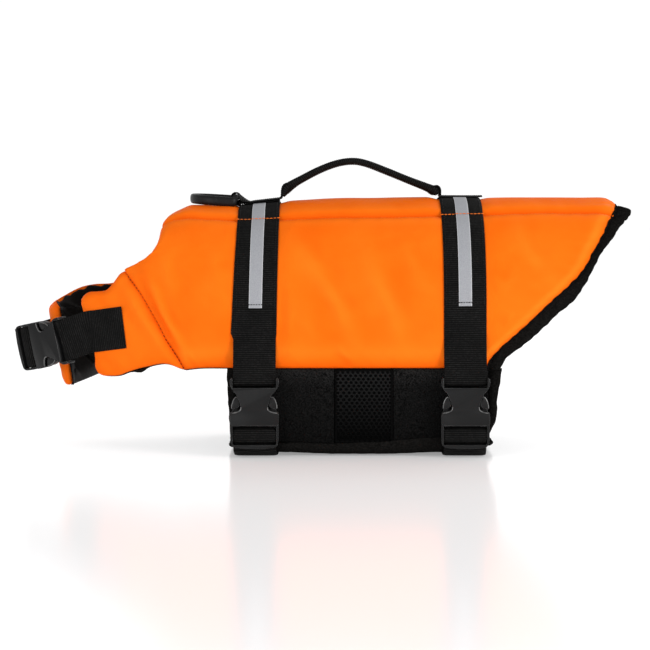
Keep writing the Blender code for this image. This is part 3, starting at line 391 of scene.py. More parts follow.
def moulded_plastic():
    """Satin black plastic with the fine grain of its mould."""
    made, tree, shader = new_finish("black_plastic", grey(0.0085), 0.36, 0.14)
    grain = noise(tree, 0.0006, 2.0, 0.6)
    shade_between(tree, shader, grain, (0.0070, 0.0070, 0.0072), (0.0110, 0.0110, 0.0112))
    rough = scaled(tree, noise(tree, 0.01), 0.12, 0.33)
    tree.links.new(rough, shader.inputs["Roughness"])
    bump(tree, shader, grain, 0.00008, 0.35)
    return made


def painted_edge_highlight():
    """The same plastic with a painted highlight on its rounded edges and beads: paler and smoother."""
    made, tree, shader = new_finish("plastic_painted_edge_highlight", grey(0.030), 0.28, 0.4)
    highlight_spread = remap(tree, noise(tree, 0.004, 3.0), 0.35, 0.65)
    shade_between(tree, shader, highlight_spread, grey(0.045), (0.150, 0.150, 0.148))
    return made


def thread(name, colour):
    """Twisted thread, slightly shiny."""
    made, tree, shader = new_finish(name, colour, 0.5, 0.1)
    shade_between(tree, shader, noise(tree, 0.0005, 1.0), [0.8 * part for part in colour], colour)
    return made


SHELL = shell_cloth()
WEBBING_FINISH = webbing_cloth()
BINDING_FINISH = binding_cloth()
LINING_FINISH = lining_cloth()
LOOP_CLOTH = loop_cloth()
MESH_CLOTH = mesh_cloth()
MESH_BACK = mesh_back_cloth()
REFLECTIVE = reflective_cloth()
PLASTIC = moulded_plastic()
PLASTIC_PAINTED_HIGHLIGHT = painted_edge_highlight()
ORANGE_THREAD = thread("orange_thread", (1.0, 0.210, 0.020))
BLACK_THREAD = thread("black_thread", grey(0.014))
SEAM_THREAD = thread("dark_red_thread", (0.30, 0.030, 0.006))
print("finishes:", [m.name for m in bpy.data.materials])

# %% [markdown]
# ## The jacket's form
#
# Every panel lies on one smooth form: a torso whose section changes from neck to tail, and a collar
# that turns round the front of the chest. The tables give the form at a few places, and curves that
# never overshoot join them. A point on it is named by its distance along the jacket and its height,
# so one function places panels, straps, tapes and stitches alike, and nothing has to be fitted.

# %% Sizes of the jacket, in metres
MM = 0.001
GAP = 0.0003
WEBBING_WIDTH = 0.0375
WEBBING = 0.0014
DOUBLE_WEBBING = 0.0020
TAPE_WIDTH = 0.0115
TAPE = 0.0004
GIRTH_X = 0.0915
PAD = 0.0085
PAD_AT_SEAM = 0.0040
SEAM_DIP = 0.0015
LINING = 0.0012
FLAP = 0.0030
FLAP_INSET = 0.0045
BINDING = 0.0070
WIDEST_Z = 0.110
LOW_SQUARENESS = 7.0
PANEL_FOOT_Z = 0.0785
NECK_X = -0.1800
RAIL_START = -0.1500
TAIL_X = 0.2300
TAIL_TIP_X = 0.2432
TAIL_BOW = 0.0076
LEFT, RIGHT = -1, 1
SIDE_NAMES = {LEFT: "left", RIGHT: "right"}
STRAP_EDGES = tuple(middle + side * WEBBING_WIDTH / 2 for middle in (-GIRTH_X, GIRTH_X) for side in (-1, 1))
CORNER = 0.31
SEWN_END = 0.60

# %% The torso from neck to tail: the ridge's height, half-width, squareness, half the spine panel
Station = namedtuple("Station", "x ridge half squareness spine")
STATIONS = (
    Station(-0.1800, 0.2085, 0.0900, 3.6, 0.0480),
    Station(-0.1650, 0.2172, 0.0945, 3.0, 0.0515),
    Station(-0.1530, 0.2218, 0.0970, 2.7, 0.0540),
    Station(-0.1060, 0.2218, 0.1030, 2.4, 0.0560),
    Station(-0.0730, 0.2250, 0.1050, 2.3, 0.0575),
    Station(0.0000, 0.2284, 0.1055, 2.3, 0.0592),
    Station(0.0730, 0.2286, 0.1050, 2.3, 0.0578),
    Station(0.1500, 0.2286, 0.0985, 2.4, 0.0525),
    Station(0.2150, 0.2282, 0.0860, 2.5, 0.0470),
    Station(0.2375, 0.2264, 0.0805, 2.6, 0.0440),
    Station(0.2510, 0.2190, 0.0760, 2.8, 0.0425),
)

# The widest line in plan, from the shoulder round the front of the chest: x and half-width, in millimetres.
FRONT_RAIL = (
    (-150, 97.5), (-180, 90), (-205, 82.5), (-230, 71.5), (-254.5, 56), (-275, 34), (-286.5, 12),
    (-288, 0), (-285, -14), (-279, -28), (-270, -40),
)


# %% Curves through the tables
def unit(vectors):
    return vectors / np.linalg.norm(vectors, axis=-1, keepdims=True)


def smooth(xs, ys, x):
    """A curve through the points that never overshoots them; xs rise."""
    xs, ys, x = (np.asarray(values, float) for values in (xs, ys, x))
    slopes = np.diff(ys) / np.diff(xs)
    before, after = slopes[:-1], slopes[1:]
    agree = before * after > 0
    inner = np.where(agree, 2 * before * after / np.where(agree, before + after, 1.0), 0.0)
    tangents = np.concatenate([slopes[:1], inner, slopes[-1:]])
    i = np.clip(np.searchsorted(xs, x, side="right") - 1, 0, len(xs) - 2)
    width = xs[i + 1] - xs[i]
    t = np.clip((x - xs[i]) / width, 0.0, 1.0)
    ends = ys[i] * (1 + 2 * t) * (1 - t) ** 2 + ys[i + 1] * t * t * (3 - 2 * t)
    return ends + width * (tangents[i] * t * (1 - t) ** 2 - tangents[i + 1] * t * t * (1 - t))


def station(x):
    """The torso's section at each x, as a Station."""
    table = list(zip(*STATIONS))
    return Station(x, *(smooth(table[0], column, x) for column in table[1:]))


def ease(x, start, end):
    """0 before start, 1 past end, smooth between; start may be above end."""
    t = np.clip((np.asarray(x, float) - start) / (end - start), 0.0, 1.0)
    return t * t * (3 - 2 * t)


# %% Lines of points
def spline(points, per_span=10):
    """A Catmull-Rom curve through the points."""
    points = np.array(points, float)
    ends = np.vstack([points[:1], points, points[-1:]])
    found = []
    for p0, p1, p2, p3 in zip(ends, ends[1:], ends[2:], ends[3:]):
        t = (np.arange(per_span) / per_span)[:, None]
        bend = (2 * p0 - 5 * p1 + 4 * p2 - p3) * t * t + (3 * p1 - p0 - 3 * p2 + p3) * t ** 3
        found.append(0.5 * (2 * p1 + (p2 - p0) * t + bend))
    found.append(points[-1:])
    return np.vstack(found)


def run_of(points):
    """The distance along a line of points, from 0 at its start."""
    steps = np.linalg.norm(np.diff(points, axis=0), axis=-1)
    return np.concatenate([[0.0], np.cumsum(steps)])


def rows_at(where, run, values):
    """Values given along a line's run, read at distances along it."""
    return np.column_stack([np.interp(where, run, column) for column in np.asarray(values).T])


def along_rows(values, run, parts):
    """Values given along a line's run, read at parts of it."""
    return rows_at(np.asarray(parts) * run[-1], run, values)


def along(points, parts):
    """Points at the given parts, from 0 to 1, of a line's length."""
    points = np.array(points, float)
    return along_rows(points, run_of(points), parts)


def wander(distance, pitch, seed):
    """A smooth, uneven wave from -1 to 1: sines whose lengths have no common measure."""
    t = 2 * math.pi * np.asarray(distance, float) / pitch
    first = 0.50 * np.sin(t + seed)
    return first + 0.30 * np.sin(0.618 * t + 2.1 * seed) + 0.20 * np.sin(1.732 * t + 3.7 * seed)


# %% Points and directions on the sides and the collar
RAIL = spline(FRONT_RAIL) * MM
RAIL_RUN = run_of(RAIL)
RAIL_STEP = 0.001
FORM_STEP = 0.0005


def rail(u):
    """The widest line in plan: its x, its half-width, and how far its inward side turns to +X."""
    run = np.maximum(RAIL_START - u, 0.0)
    steps = (0.0, RAIL_STEP, -RAIL_STEP)
    here, ahead, behind = ([np.interp(run + step, RAIL_RUN, column) for column in RAIL.T] for step in steps)
    turn = np.arctan2(behind[1] - ahead[1], behind[0] - ahead[0]) * ease(u, NECK_X, NECK_X - 0.050)
    torso = u >= RAIL_START
    return np.where(torso, u, here[0]), np.where(torso, station(u).half, here[1]), np.where(torso, 0.0, turn)


def inset(half, squareness, ridge, z):
    """How far the section at height z lies inside its widest point."""
    rise = np.clip((z - WIDEST_Z) / (ridge - WIDEST_Z), 0.0, 1.0)
    drop = np.clip((WIDEST_Z - z) / WIDEST_Z, 0.0, 1.0)
    high = 1 - (1 - rise ** squareness) ** (1 / squareness)
    low = 1 - (1 - drop ** LOW_SQUARENESS) ** (1 / LOW_SQUARENESS)
    return half * np.where(z >= WIDEST_Z, high, low)


def wall(side, u, z):
    """Points on the outer form of a side or of the collar."""
    u, z = np.broadcast_arrays(np.asarray(u, float), np.asarray(z, float))
    x, half, turn = rail(u)
    here = station(np.maximum(u, NECK_X))
    ahead = ease(u, NECK_X, NECK_X - 0.030)
    depth = inset(here.half, here.squareness - 1.2 * ahead, here.ridge - 0.003 * ahead, z)
    depth = depth + 0.20 * ease(u, -0.240, -0.300) * np.maximum(0.127 - z, 0.0)
    return np.stack([x + depth * np.sin(turn), side * (half - depth * np.cos(turn)), z], axis=-1)


def wall_normal(side, u, z):
    """The outward direction of the form at points of a side or of the collar."""
    along_u = wall(side, u + FORM_STEP, z) - wall(side, u - FORM_STEP, z)
    along_z = wall(side, u, z + FORM_STEP) - wall(side, u, z - FORM_STEP)
    return unit(np.cross(along_u, along_z)) * -side


# %% Points and directions on the back
def crest(x, y):
    """Points on the outer form of the back."""
    x, y = np.broadcast_arrays(np.asarray(x, float), np.asarray(y, float))
    here = station(x)
    across = np.clip(np.abs(y) / here.half, 0.0, 1.0)
    rise = (1 - across ** here.squareness) ** (1 / here.squareness)
    return np.stack([x, y, WIDEST_Z + (here.ridge - WIDEST_Z) * rise], axis=-1)


def crest_normal(x, y):
    """The outward direction of the form at points of the back."""
    along_x = crest(x + FORM_STEP, y) - crest(x - FORM_STEP, y)
    return unit(np.cross(along_x, crest(x, y + FORM_STEP) - crest(x, y - FORM_STEP)))


def seam_point(side, x):
    """Points on the seam between the back and a side."""
    return crest(x, side * station(x).spine)


print("spine seam at the middle in mm:", np.round(1000 * seam_point(LEFT, 0.0), 1))

# %% [markdown]
# ## Meshes from grids
#
# Cloth is easiest to control as a grid of points: rows down the piece, columns along it. Two grids,
# an outer and an inner one, joined by a rounded rim, make a closed piece of cloth with a real
# thickness. The same helper takes a UV for each point, in metres of cloth.


# %% A piece, and one from points and faces, turned outwards
def piece_of(name, mesh, node=None, body=JACKET):
    """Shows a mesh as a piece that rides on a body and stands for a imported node."""
    made = show(name, mesh)
    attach(made, body)
    if node:
        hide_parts(node)
    return made


def solid(name, points, faces, uvs, finish, node, body=JACKET):
    """A smooth closed piece of those points and faces."""
    points = np.asarray(points, float)
    quads = np.array([face for face in faces if len(face) == 4])
    a, b, c, d = (points[quads[:, k]] - points[0] for k in range(4))
    volume = (a * np.cross(b, c)).sum() + (a * np.cross(c, d)).sum()
    if volume < 0:
        faces = [face[::-1] for face in faces]
    mesh = plain_mesh(name, points.tolist(), faces=faces)
    layer = mesh.uv_layers.new(name="cloth")
    corners = np.zeros(len(mesh.loops), np.int32)
    mesh.loops.foreach_get("vertex_index", corners)
    layer.data.foreach_set("uv", np.asarray(uvs, np.float32)[corners].ravel())
    mesh.shade_smooth()
    mesh.materials.append(finish)
    return piece_of(name, mesh, node or name, body)


# %% A closed piece of cloth between two grids
RIM_RINGS = 3
RIM_ROOM = 0.75


def rim_of(rows, columns):
    """Where the grid's border points are, in order, and the neighbour of each that lies further in."""
    loop = [(i, 0) for i in range(rows)] + [(rows - 1, j) for j in range(1, columns)]
    loop += [(i, columns - 1) for i in range(rows - 2, -1, -1)]
    loop += [(0, j) for j in range(columns - 2, 0, -1)]
    inside = [(min(max(i, 1), rows - 2), min(max(j, 1), columns - 2)) for i, j in loop]
    return tuple(np.array(loop).T), tuple(np.array(inside).T)


def grid_faces(rows, columns, start=0):
    """Quads over a grid of points."""
    i, j = np.meshgrid(np.arange(rows - 1), np.arange(columns - 1), indexing="ij")
    a = (start + i * columns + j).ravel()
    return np.stack([a, a + columns, a + columns + 1, a + 1], axis=1)


def cloth(name, outer, inner, uvs, finish, bulge, node=None):
    """A closed piece between two grids; its rim bulges out by a share of the thickness, up to its edge."""
    rows, columns = outer.shape[:2]
    count = rows * columns
    rim, inside = rim_of(rows, columns)
    high, low = outer[rim], inner[rim]
    reach = high - outer[inside]
    out = unit(reach)
    thick = np.linalg.norm(high - low, axis=1, keepdims=True)
    amount = np.broadcast_to(bulge, (rows, columns))[rim][:, None]
    back = out * np.minimum(thick * amount, RIM_ROOM * np.linalg.norm(reach, axis=1, keepdims=True))
    high, low = high - back, low - back
    outer, inner = outer.copy(), inner.copy()
    outer[rim], inner[rim] = high, low
    rings = []
    for ring in range(1, RIM_RINGS + 1):
        angle = math.pi * ring / (RIM_RINGS + 1)
        middle = (high + low) / 2 + (high - low) / 2 * math.cos(angle)
        rings.append(middle + out * thick * amount * math.sin(angle))
    points = np.vstack([outer.reshape(-1, 3), inner.reshape(-1, 3), *rings])
    uv_all = np.vstack([uvs.reshape(-1, 2)] * 2 + [uvs[rim]] * RIM_RINGS)
    faces = grid_faces(rows, columns).tolist() + grid_faces(rows, columns, count)[:, ::-1].tolist()
    border = rim[0] * columns + rim[1]
    edges = [border] + [2 * count + ring * len(border) + np.arange(len(border)) for ring in range(RIM_RINGS)]
    for near, far in zip(edges, edges[1:] + [count + border]):
        faces += np.stack([np.roll(near, -1), near, far, np.roll(far, -1)], axis=1).tolist()
    return solid(name, points, faces, uv_all, finish, node)


def runs(grid):
    """Each grid point's distance from the first row and column and to the last ones, in metres."""
    found = []
    for axis in (0, 1):
        steps = np.linalg.norm(np.diff(grid, axis=axis), axis=-1)
        run = np.insert(np.cumsum(steps, axis=axis), 0, 0.0, axis=axis)
        found += [run, np.take(run, [-1], axis=axis) - run]
    return found


# %% [markdown]
# ## Puffiness, puckers and folds
#
# A foam panel is full in its middle and drawn down to its seams, where the thread gathers the cloth
# into small puckers. The girth straps press it in. The larger creases are placed one by one: each is
# a soft trough or ridge between two points, with its own width and depth, deepest near its middle.

# %% Folds placed one by one, and the sizes of a padded panel's relief
PINCH = 0.0011
PINCH_REACH = 0.011
SEAM_REACH = 0.013
SEAM_CREASE = 0.0009
# How strongly the folds' ridges get painted highlight and their valleys painted shade.
FOLD_PAINTED_SHADING = 0.38
HEM_HIGH = 0.0090
CROWN = 0.0009
ROLL = 0.42

# A fold runs from (u, z) to (u, z): how deep it is (minus for a ridge), how wide, and how far its middle
# bows to its right, seen from its start, where it heaps a low ridge too. The tables hold millimetres.
Fold = namedtuple("Fold", "u z to_u to_z depth width bow", defaults=(0.0,))


def folds_relief(u, z, folds):
    """How far the folds lower each point."""
    total = np.zeros_like(u)
    for row in folds:
        fold = Fold(*(MM * part for part in row))
        du, dz = fold.to_u - fold.u, fold.to_z - fold.z
        length = math.hypot(du, dz)
        part = ((u - fold.u) * du + (z - fold.z) * dz) / length ** 2
        t = np.clip(part, 0.0, 1.0)
        off = ((u - fold.u) * dz - (z - fold.z) * du) / length - 4 * fold.bow * t * (1 - t)
        off = off + 0.10 * fold.width * np.sin(9.0 * t + 60 * fold.u)
        fade = np.sin(math.pi * t) ** 0.7
        wide = fold.width * (1 + 0.25 * np.sin(7.0 * t + 90 * fold.z))
        shape = np.exp(-((off / wide) ** 2)) - 0.40 * np.exp(-(((off - 1.9 * wide) / wide) ** 2))
        total += fold.depth * fade * shape
    return total


# %% Fullness, puckers and folds together
def from_strap(x):
    """The distance from the nearer girth strap's middle."""
    return np.minimum(np.abs(x - GIRTH_X), np.abs(x + GIRTH_X))


Edges = namedtuple("Edges", "top foot front rear")

# How a panel is made: its waves' seed, its folds, the puckers along its edges, which edges roll outwards,
# how far its tail edge is drawn in and its hem pinched, and how much painted shade and painted highlight its
# hem, its tail and all of it carry.
Making = namedtuple("Making", "seed folds puckers free tail hem worn_hem worn_tail worn")


def relief_of(grid, u, z, made):
    """How far each point of a panel lies outside the plain form, and how full the foam is there."""
    top, foot, front, rear = runs(grid)
    seed, puckers = made.seed, made.puckers
    full = 1 - (1 - np.clip(np.minimum.reduce([top, foot, front, rear]) / SEAM_REACH, 0.0, 1.0)) ** 2.4
    pressed = ease(from_strap(u), WEBBING_WIDTH / 2 + PINCH_REACH, WEBBING_WIDTH / 2 - 0.002)
    slow = wander(front + 0.4 * top, 0.085, seed) + wander(top - 0.3 * front, 0.060, seed + 2.0)
    rise = CROWN * full + 0.00035 * slow * full
    for run, place, amount, pitch in (
        (top, front, puckers.top, 0.019),
        (foot, front, puckers.foot, 0.016),
        (front, top, puckers.front, 0.013),
        (rear, top, puckers.rear, 0.012),
    ):
        reach = 0.010 * (1 + 0.5 * wander(place, 3.1 * pitch, seed + 5.0))
        fade = np.exp(-run / reach) * (1 - np.exp(-run / 0.0018))
        rise = rise + amount * wander(place + 0.25 * run, pitch, seed + 1.0) * fade
    rise = rise * (1 - 0.85 * pressed) - PINCH * pressed * full
    clear = ease(from_strap(u), WEBBING_WIDTH / 2 - 0.001, WEBBING_WIDTH / 2 + 0.003)
    rise = rise - folds_relief(u, z, made.folds) * (0.1 + 0.9 * clear)
    crease = SEAM_CREASE * (np.exp(-((front / 0.0022) ** 2)) + 2.6 * np.exp(-((top / 0.0042) ** 2)))
    crease = crease + made.tail * (1 - np.clip(rear / 0.015, 0.0, 1.0)) ** 2
    crease = crease + made.hem * clear * np.exp(-(((foot - HEM_HIGH) / 0.0042) ** 2))
    return rise - SEAM_DIP * (1 - full) - crease, full


# %% A panel's fine grid, and places on it
FINE = 0.0022

# across: where each column crosses the top edge, in x; down: from 0 at the top row to 1.
Panel = namedtuple("Panel", "across down outer normals inner uvs")


def split(stops, size=FINE):
    """Values that include every stop, about a step apart."""
    found = [stops[0]]
    for start, end in zip(stops, stops[1:]):
        count = max(int(round(abs(end - start) / size)), 1)
        found += list(start + (end - start) * np.arange(1, count + 1) / count)
    return np.array(found)


def place_on(panel, across, down, field="outer"):
    """A panel's points, or another field of it, at the given columns and rows."""
    values = getattr(panel, field)
    j = np.interp(across, panel.across, np.arange(len(panel.across)))
    i = np.interp(down, panel.down, np.arange(len(panel.down)))
    i0 = np.clip(i.astype(int), 0, len(panel.down) - 2)
    j0 = np.clip(j.astype(int), 0, len(panel.across) - 2)
    fi, fj = (i - i0)[..., None], (j - j0)[..., None]
    upper = values[i0, j0] * (1 - fj) + values[i0, j0 + 1] * fj
    lower = values[i0 + 1, j0] * (1 - fj) + values[i0 + 1, j0 + 1] * fj
    return upper * (1 - fi) + lower * fi


# %% Painted shading on the shell: painted shade in seams and valleys, painted highlight on ridges and swollen edges
def painted_shading_of(grid, u, z, made):
    """Painted shading from -1, deepest painted shade, to 1, palest painted highlight, at each point of a
    panel, with a little uneven tone; hem and tail edge have a pale painted band where they swell.
    """
    top, foot, front, rear = runs(grid)
    hem, tail = made.worn_hem, made.worn_tail
    # Painted shade in fold valleys, painted highlight on fold ridges.
    painted_shading = np.clip(-folds_relief(u, z, made.folds) / 0.0030, -0.8, 0.8) * FOLD_PAINTED_SHADING
    for run, deep, wide, pale, at in (
        (top, 0.62, 0.0036, 0.20, 0.0110),
        (foot, 0.34 + 0.30 * hem, 0.0062, 0.30 * hem, 0.0140),
        (front, 0.25, 0.0024, 0.10, 0.0080),
        (rear, 0.30 + 0.15 * tail, 0.0024, 0.42 * tail, 0.0085),
    ):
        painted_shading = painted_shading - deep * np.exp(-((run / wide) ** 2)) + pale * np.exp(-(((run - at) / (0.45 * at)) ** 2))
    uneven = 0.10 * wander(front + 0.5 * top, 0.034, 3.0) * wander(top - 0.4 * front, 0.029, 1.0)
    return np.clip(painted_shading + uneven, -1.0, 1.0) * made.worn


def store_painted_shading(piece, painted_shading):
    """Stores the painted shading on a piece made of two grids and a rim."""
    border = painted_shading[rim_of(*painted_shading.shape)[0]]
    values = np.concatenate([painted_shading.ravel(), np.zeros(painted_shading.size)] + [border] * RIM_RINGS)
    piece.data.attributes.new("painted_shading", "FLOAT", "POINT").data.foreach_set("value", values.astype(np.float32))


# %% Padded panel and its lining
def padded_panel(name, across, down, surface, normals, u, z, made):
    """The foam-filled piece over its lining."""
    relief, full = relief_of(surface, u, z, made)
    outer = surface + normals * relief[..., None]
    plain = surface - normals * (SEAM_DIP * (1 - full))[..., None]
    inner = plain - normals * (PAD_AT_SEAM + (PAD - PAD_AT_SEAM) * full)[..., None]
    bulge = np.zeros(outer.shape[:2])
    bulge[0, :], bulge[-1, :] = ROLL * made.free.top, ROLL * made.free.foot
    bulge[1:-1, 0], bulge[1:-1, -1] = ROLL * made.free.front, ROLL * made.free.rear
    top, _, front, _ = runs(surface)
    uvs = np.stack([front, top], axis=-1)
    piece = cloth(name, outer, inner, uvs, SHELL, bulge)
    # The panel's painted shade and painted highlight, for the shell's material.
    store_painted_shading(piece, painted_shading_of(surface, u, z, made))
    return Panel(across, down, outer, normals, inner, uvs)


def lining(name, panel, wrinkle, seed, peek=Edges(0.0, 0.0, 0.0, 0.0)):
    """The thin cloth behind a panel, softly wrinkled; peek is how far its edges show past the panel's."""
    top, foot, front, rear = runs(panel.inner)
    slack = ease(np.minimum.reduce([top, foot, front, rear]), 0.0, 0.015)
    wave = 0.5 + 0.5 * wander(front + 0.35 * top, 0.024, seed)
    outer = panel.inner - panel.normals * (GAP + wrinkle * slack * wave ** 2)[..., None]
    for lines, amount in ((outer, peek.top), (outer[::-1], peek.foot), (outer.swapaxes(0, 1), peek.front)):
        away = unit(lines[0] - lines[1]) * np.reshape(amount, (-1, 1))
        for k, share in enumerate((1.0, 0.6, 0.25)):
            lines[k] += away * share
    piece = cloth(name, outer, outer - panel.normals * LINING, panel.uvs, LINING_FINISH, 0.3)


# %% [markdown]
# ## Panels of the body
#
# The back is a plain strip between two seams. A side reaches from the seam down to its foot, and
# from the neckline and collar seam back to the slanting tail edge, so its grid is drawn between
# curved edges. Under the girth straps the columns stay upright, as the straps do.

# %% Edges of the side panels: distance along the jacket and height, in millimetres
NECKLINE = (
    (-180, 205.5), (-182, 191.7), (-187.5, 182.5), (-193, 176.4), (-204.5, 170.4), (-218.9, 165.3),
)
COLLAR_SEAM = (
    (-218.9, 165.3), (-213.6, 160), (-197.1, 142), (-181.7, 117.9), (-174.3, 103.7), (-164.2, 88.6),
    (-156.7, 76.5),
)
SIDE_FOOT = ((-156.7, 76.5), (-140, 78.3), (-115, 78.5))
SIDE_HEEL_X = 0.1120
TAIL_LINE = (
    (230, 217), (225.5, 210.2), (221.6, 203.3), (217.4, 195.3), (208.3, 180.5), (199.9, 165.9),
    (186.2, 151.3), (170, 137.2), (150, 118.5), (139, 108.5), (127, 98.5), (116, 87), (112, 78.5),
)
TAIL_RIM = (
    (243.2, 217), (238.9, 210.2), (234.2, 205.7), (229.7, 198.5), (221.4, 187.7), (215.5, 180.5),
    (207.4, 165.9), (199.2, 151.2), (188.4, 136.6), (175.5, 126.7), (162, 113.8), (148, 101.5),
    (137, 93.5), (128, 86.5), (124, 78.7),
)

# %% Folds of the side panels, placed one by one, in millimetres
LEFT_FOLDS = (
    (-159, 85, -201, 162, 4, 3.6, 1), (-153, 83, -190, 156, -2, 4), (-145, 79, -156, 90, 1.4, 2.8),
    (-170, 140, -174, 184, -1.2, 6.5), (-129, 140, -130, 188, -0.8, 7.5), (-69, 105, -70, 150, 1, 4.5),
    (-2, 93, -73, 201, -2.7, 8.5, 7), (-20, 150, -56, 203, 1, 7), (36, 95, -4, 190, -2.6, 8.8, 3),
    (62, 132, 33, 190, -1.4, 7, 2), (-42, 100, -56, 140, -0.9, 7), (-8.5, 79, -26.5, 93, 1.5, 3.4),
    (31, 79.5, 25, 90, 1, 2.8), (159, 164, 129, 205, -1.8, 7, 1), (140, 160, 118, 148, -1.2, 6.2),
    (127, 115, 118, 128, 1, 4),
)
RIGHT_FOLDS = (
    (-159, 90, -200, 156, 2.4, 4, 1.2), (-140, 83, -150, 115, 1.2, 4), (-12, 105, -64, 185, -1.8, 7.5, 6),
    (18, 115, -5, 175, 1.2, 6.5), (56, 105, 20, 178, -1.6, 7, 3), (12, 80, -4, 96, 1.4, 3),
    (162, 170, 139, 203, -1.3, 6.5), (134, 155, 120, 136, -1, 5.5),
)


# %% Grids between curved edges
def edge_points(edge, parts):
    """Points at parts of the length of the smooth curve through an edge's points, in metres."""
    return along(spline(edge, 6), parts) * MM


def coons(top, foot, front, rear, across, down):
    """A grid between four edges; top and foot run from front to rear, the others down."""
    a, b = np.array(across)[None, :, None], np.array(down)[:, None, None]
    top, foot = (np.array(edge)[None, :, :] for edge in (top, foot))
    front, rear = (np.array(edge)[:, None, :] for edge in (front, rear))
    ruled = (1 - b) * top + b * foot + (1 - a) * front + a * rear
    corners = (1 - b) * ((1 - a) * top[:, :1] + a * top[:, -1:])
    corners = corners + b * ((1 - a) * foot[:, :1] + a * foot[:, -1:])
    return ruled - corners


def body_columns():
    """The x of every column of the back, and of the top of a side."""
    return split([NECK_X, *STRAP_EDGES, TAIL_X])


# %% The back panel
BACK_ROW_COUNT = 56
TAIL_DRAW = 0.0032
BACK_MAKING = Making(
    0.7, (), Edges(0.0006, 0.0006, 0.0003, 0.0012), Edges(0, 0, 1, 0), TAIL_DRAW, 0.0, 0.0, 0.3, 1.0
)


def back_panel():
    """Along the spine, between the two seams; down runs from the left seam to the right one."""
    xs = body_columns()
    down = np.linspace(0.0, 1.0, BACK_ROW_COUNT)
    x, v = np.meshgrid(xs, 2 * down - 1)
    y = v * station(x).spine
    x = x + TAIL_BOW * (1 - v ** 2) * ease(x, 0.190, TAIL_X)
    return padded_panel("back", xs, down, crest(x, y), crest_normal(x, y), x, y, BACK_MAKING)


BACK = back_panel()
lining("lining_back", BACK, 0.0006, 0.4)
print("back panel grid:", BACK.outer.shape[:2])


# %% The side panels
SIDE_ROW = 0.0165
SIDE_PUCKERS = Edges(0.0007, 0.0011, 0.0008, 0.0016)
SIDE_HEM = 0.0010


def side_rows():
    """The parts of the way down at which a side has its rows."""
    return split([0.0, CORNER, SEWN_END, 1.0], SIDE_ROW)


def side_panel(side, folds, seed):
    """From the back's seam to the foot, and from the neckline and collar seam to the tail."""
    name = "side_" + SIDE_NAMES[side]
    xs, down = body_columns(), side_rows()
    corner = int(np.argmin(abs(down - CORNER)))
    first = int(np.argmin(abs(xs - STRAP_EDGES[0])))
    last = int(np.argmin(abs(xs - STRAP_EDGES[3])))
    top = np.column_stack([xs, seam_point(side, xs)[:, 2]])
    neck = edge_points(NECKLINE, down[: corner + 1] / CORNER)
    front = np.vstack([neck, edge_points(COLLAR_SEAM, (down[corner:] - CORNER) / (1 - CORNER))[1:]])
    front[0] = top[0]
    tail = edge_points(TAIL_LINE, down)
    tail[0] = top[-1]
    heights = [z + (PANEL_FOOT_Z - z) * down for x, z in top]
    straight = np.stack([np.column_stack([np.full(len(down), x), high]) for x, high in zip(xs, heights)])
    parts = (xs[: first + 1] - xs[0]) / (xs[first] - xs[0])
    foot = edge_points(SIDE_FOOT, parts)
    foot[-1] = straight[first][-1]
    ahead = coons(top[: first + 1], foot, front, straight[first], parts, down)
    parts = (xs[last:] - xs[last]) / (xs[-1] - xs[last])
    heel_x = STRAP_EDGES[3] + (SIDE_HEEL_X - STRAP_EDGES[3]) * parts
    heel = np.column_stack([heel_x, np.full(len(parts), PANEL_FOOT_Z)])
    behind = coons(top[last:], heel, straight[last], tail, parts, down)
    grid = np.concatenate([ahead, straight[first + 1 : last].transpose(1, 0, 2), behind], axis=1)
    u, z = grid[..., 0], grid[..., 1]
    surface, normals = wall(side, u, z), wall_normal(side, u, z)
    surface[0] = seam_point(side, xs)
    normals[0] = crest_normal(xs, side * station(xs).spine)
    made = Making(seed, folds, SIDE_PUCKERS, Edges(0, 1, 0, 0), TAIL_DRAW, SIDE_HEM, 1.0, 1.0, 1.0)
    return padded_panel(name, xs, down, surface, normals, u, z, made)


SIDES = {LEFT: side_panel(LEFT, LEFT_FOLDS, 1.9), RIGHT: side_panel(RIGHT, RIGHT_FOLDS, 4.4)}
for side, panel in SIDES.items():
    name = SIDE_NAMES[side]
    neckline = 0.0030 * ease(panel.down, CORNER, CORNER - 0.03) * ease(panel.down, 0.10, 0.15)
    peek = Edges(0.0, 0.0011, neckline, 0.0)
    lining("lining_side_" + name, panel, 0.0008, 1.3 * side, peek)
print("side panel grid:", SIDES[LEFT].outer.shape[:2])

# %% [markdown]
# ## The collar
#
# Two padded flaps run forward from the slanting collar seams and lap across the chest. The right
# one is longer: it turns round the front, so its black lining shows from the left. The lining there
# hangs in upright folds, because the flap bends inwards.

# %% Edges and folds of the collar, in millimetres
LEFT_COLLAR_TOP = (
    (-218.9, 165.3), (-224.5, 162), (-230, 153.7), (-236, 147.2), (-245, 145.7), (-255.2, 145),
    (-261.6, 142.1), (-265.2, 137),
)
LEFT_COLLAR_FRONT = (
    (-265.2, 137), (-260, 128), (-249, 104), (-245.5, 86), (-245.5, 78.5), (-242.5, 72.5),
)
LEFT_COLLAR_FOOT = (
    (-156.7, 76.5), (-162.7, 77.9), (-171.2, 80.9), (-179.7, 81.2), (-197.3, 77.4), (-209.4, 74),
    (-221, 70), (-237.4, 69.6), (-242.5, 72.5),
)
RIGHT_COLLAR_TOP = (
    (-218.9, 165.3), (-230, 156), (-245, 149.8), (-265, 149), (-282.6, 146.5), (-305.2, 139.2),
    (-322.5, 134.5), (-342, 133.5), (-356, 130),
)
RIGHT_COLLAR_FRONT = ((-356, 130), (-358, 120), (-357, 100), (-354, 74), (-349, 56))
RIGHT_COLLAR_FOOT = (
    (-156.7, 76.5), (-180, 79), (-210, 74), (-240, 68), (-280, 60), (-320, 55), (-349, 56),
)
